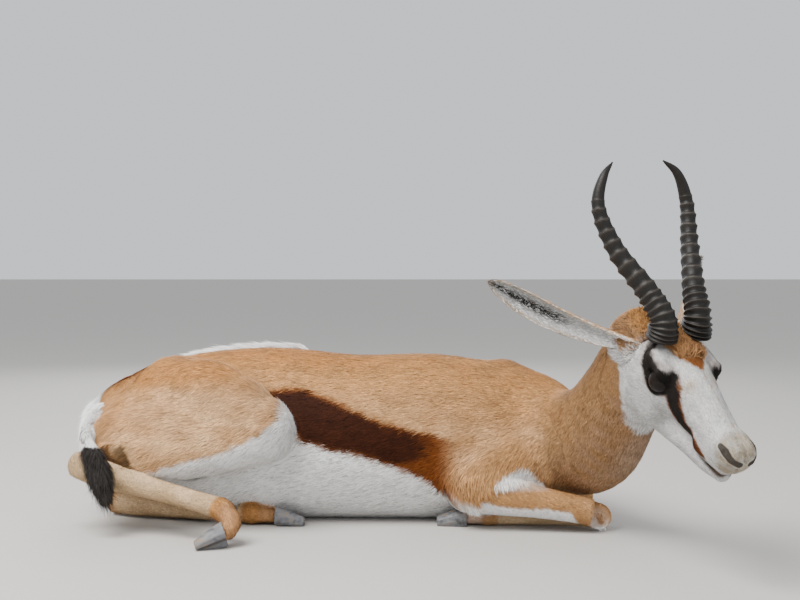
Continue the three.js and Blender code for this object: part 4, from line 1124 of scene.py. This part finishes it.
# Eyes
# Two dark glass eyes behind the lids, brown with a long level pupil under a clear wet coat.
eye_glass = Finish("eye_glass", Roughness=0.3)
eye_glass.shader.inputs["Specular IOR Level"].default_value = 0.08
eye_glass.shader.inputs["Coat Weight"].default_value = 0.22
eye_glass.shader.inputs["Coat Roughness"].default_value = 0.04
iris = eye_glass.node("ShaderNodeAttribute", {"attribute_name": "iris"}, output=2)
EYE_TONES = [(0.0, (0.002, 0.002, 0.002)), (0.4, (0.003, 0.002, 0.002)), (0.6, (0.009, 0.005, 0.003)),
             (0.95, (0.005, 0.003, 0.003))]
eye_glass.feed("Base Color", eye_glass.node("ShaderNodeValToRGB", {"stops": EYE_TONES}, Fac=iris))
for side, name in ((-1, "right"), (1, "left")):
    bpy.ops.object.select_all(action="DESELECT")
    bpy.ops.mesh.primitive_uv_sphere_add(segments=48, ring_count=32, radius=EYE_RADIUS / 1000)
    ball = bpy.context.object
    ball.name = "eyeball_" + name
    local = places(ball.data) * 1000
    out = eye_out * [1, side, 1]
    long_way = eye_long * [1, side, 1]
    swell = smooth(unit(local) @ out, 0.6, 1.0)
    local = local * (1 + 0.035 * swell)[:, None]
    ahead = unit(local) @ out
    level = np.abs(unit(local) @ long_way)
    upright = np.abs(unit(local) @ np.cross(out, long_way))
    layer = ball.data.attributes.new("iris", "FLOAT", "POINT")
    pupil = np.hypot(level / 0.8, upright / 0.36) * 0.5
    layer.data.foreach_set("value", np.clip(pupil * (ahead > 0) + (ahead <= 0), 0, 1))
    put(ball.data, to_world(local + HEAD @ (EYE * [1, side, 1]) + POLL))
    bpy.ops.object.shade_smooth()
    ball.data.materials.append(eye_glass.material)
    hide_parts("eye_" + name)
    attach(ball, "root")

# Hooves
# Four pairs of narrow grey claws, worn at the toe. Each starts from its solid, softened.
horny = Finish("hoof_keratin", Roughness=0.5)
spot = horny.node("ShaderNodeTexCoord", output=3)
grain = horny.node("ShaderNodeTexNoise", Vector=spot, Scale=160.0, Detail=6.0)
bands = horny.node("ShaderNodeTexNoise", Vector=spot, Scale=38.0, Detail=3.0)
HOOF_TONES = [(0.32, (0.06, 0.055, 0.052)), (0.5, (0.15, 0.155, 0.17)), (0.66, (0.24, 0.17, 0.1))]
slate = horny.node("ShaderNodeValToRGB", {"stops": HOOF_TONES}, Fac=grain * 0.6 + bands * 0.4)
horny.feed("Base Color", slate)
horny.feed("Roughness", grain * 0.3 + 0.35)
horny.feed("Normal", horny.node("ShaderNodeBump", Height=grain + bands * 0.4, Strength=0.5, Distance=0.001))
for leg in LEG_NAMES:
    for claw in ("inner", "outer"):
        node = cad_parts[f"hoof_{leg}_{claw}"]
        hoof = copied(node)
        hoof.name = f"claw_{leg}_{claw}"
        pick_out(hoof)
        on_mesh(bpy.ops.mesh.remove_doubles, threshold=0.0004)
        on_mesh(bpy.ops.mesh.dissolve_limited, angle_limit=math.radians(4))
        rounding = hoof.modifiers.new("rounding", "BEVEL")
        rounding.width = 0.0014
        rounding.segments = 3
        rounding.limit_method = "ANGLE"
        rounding.angle_limit = math.radians(25)
        bpy.ops.object.modifier_apply(modifier="rounding")
        bpy.ops.object.shade_smooth_by_angle(angle=math.radians(40))
        hoof.data.materials.clear()
        hoof.data.materials.append(horny.material)
        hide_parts(node.name)
        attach(hoof, "root")
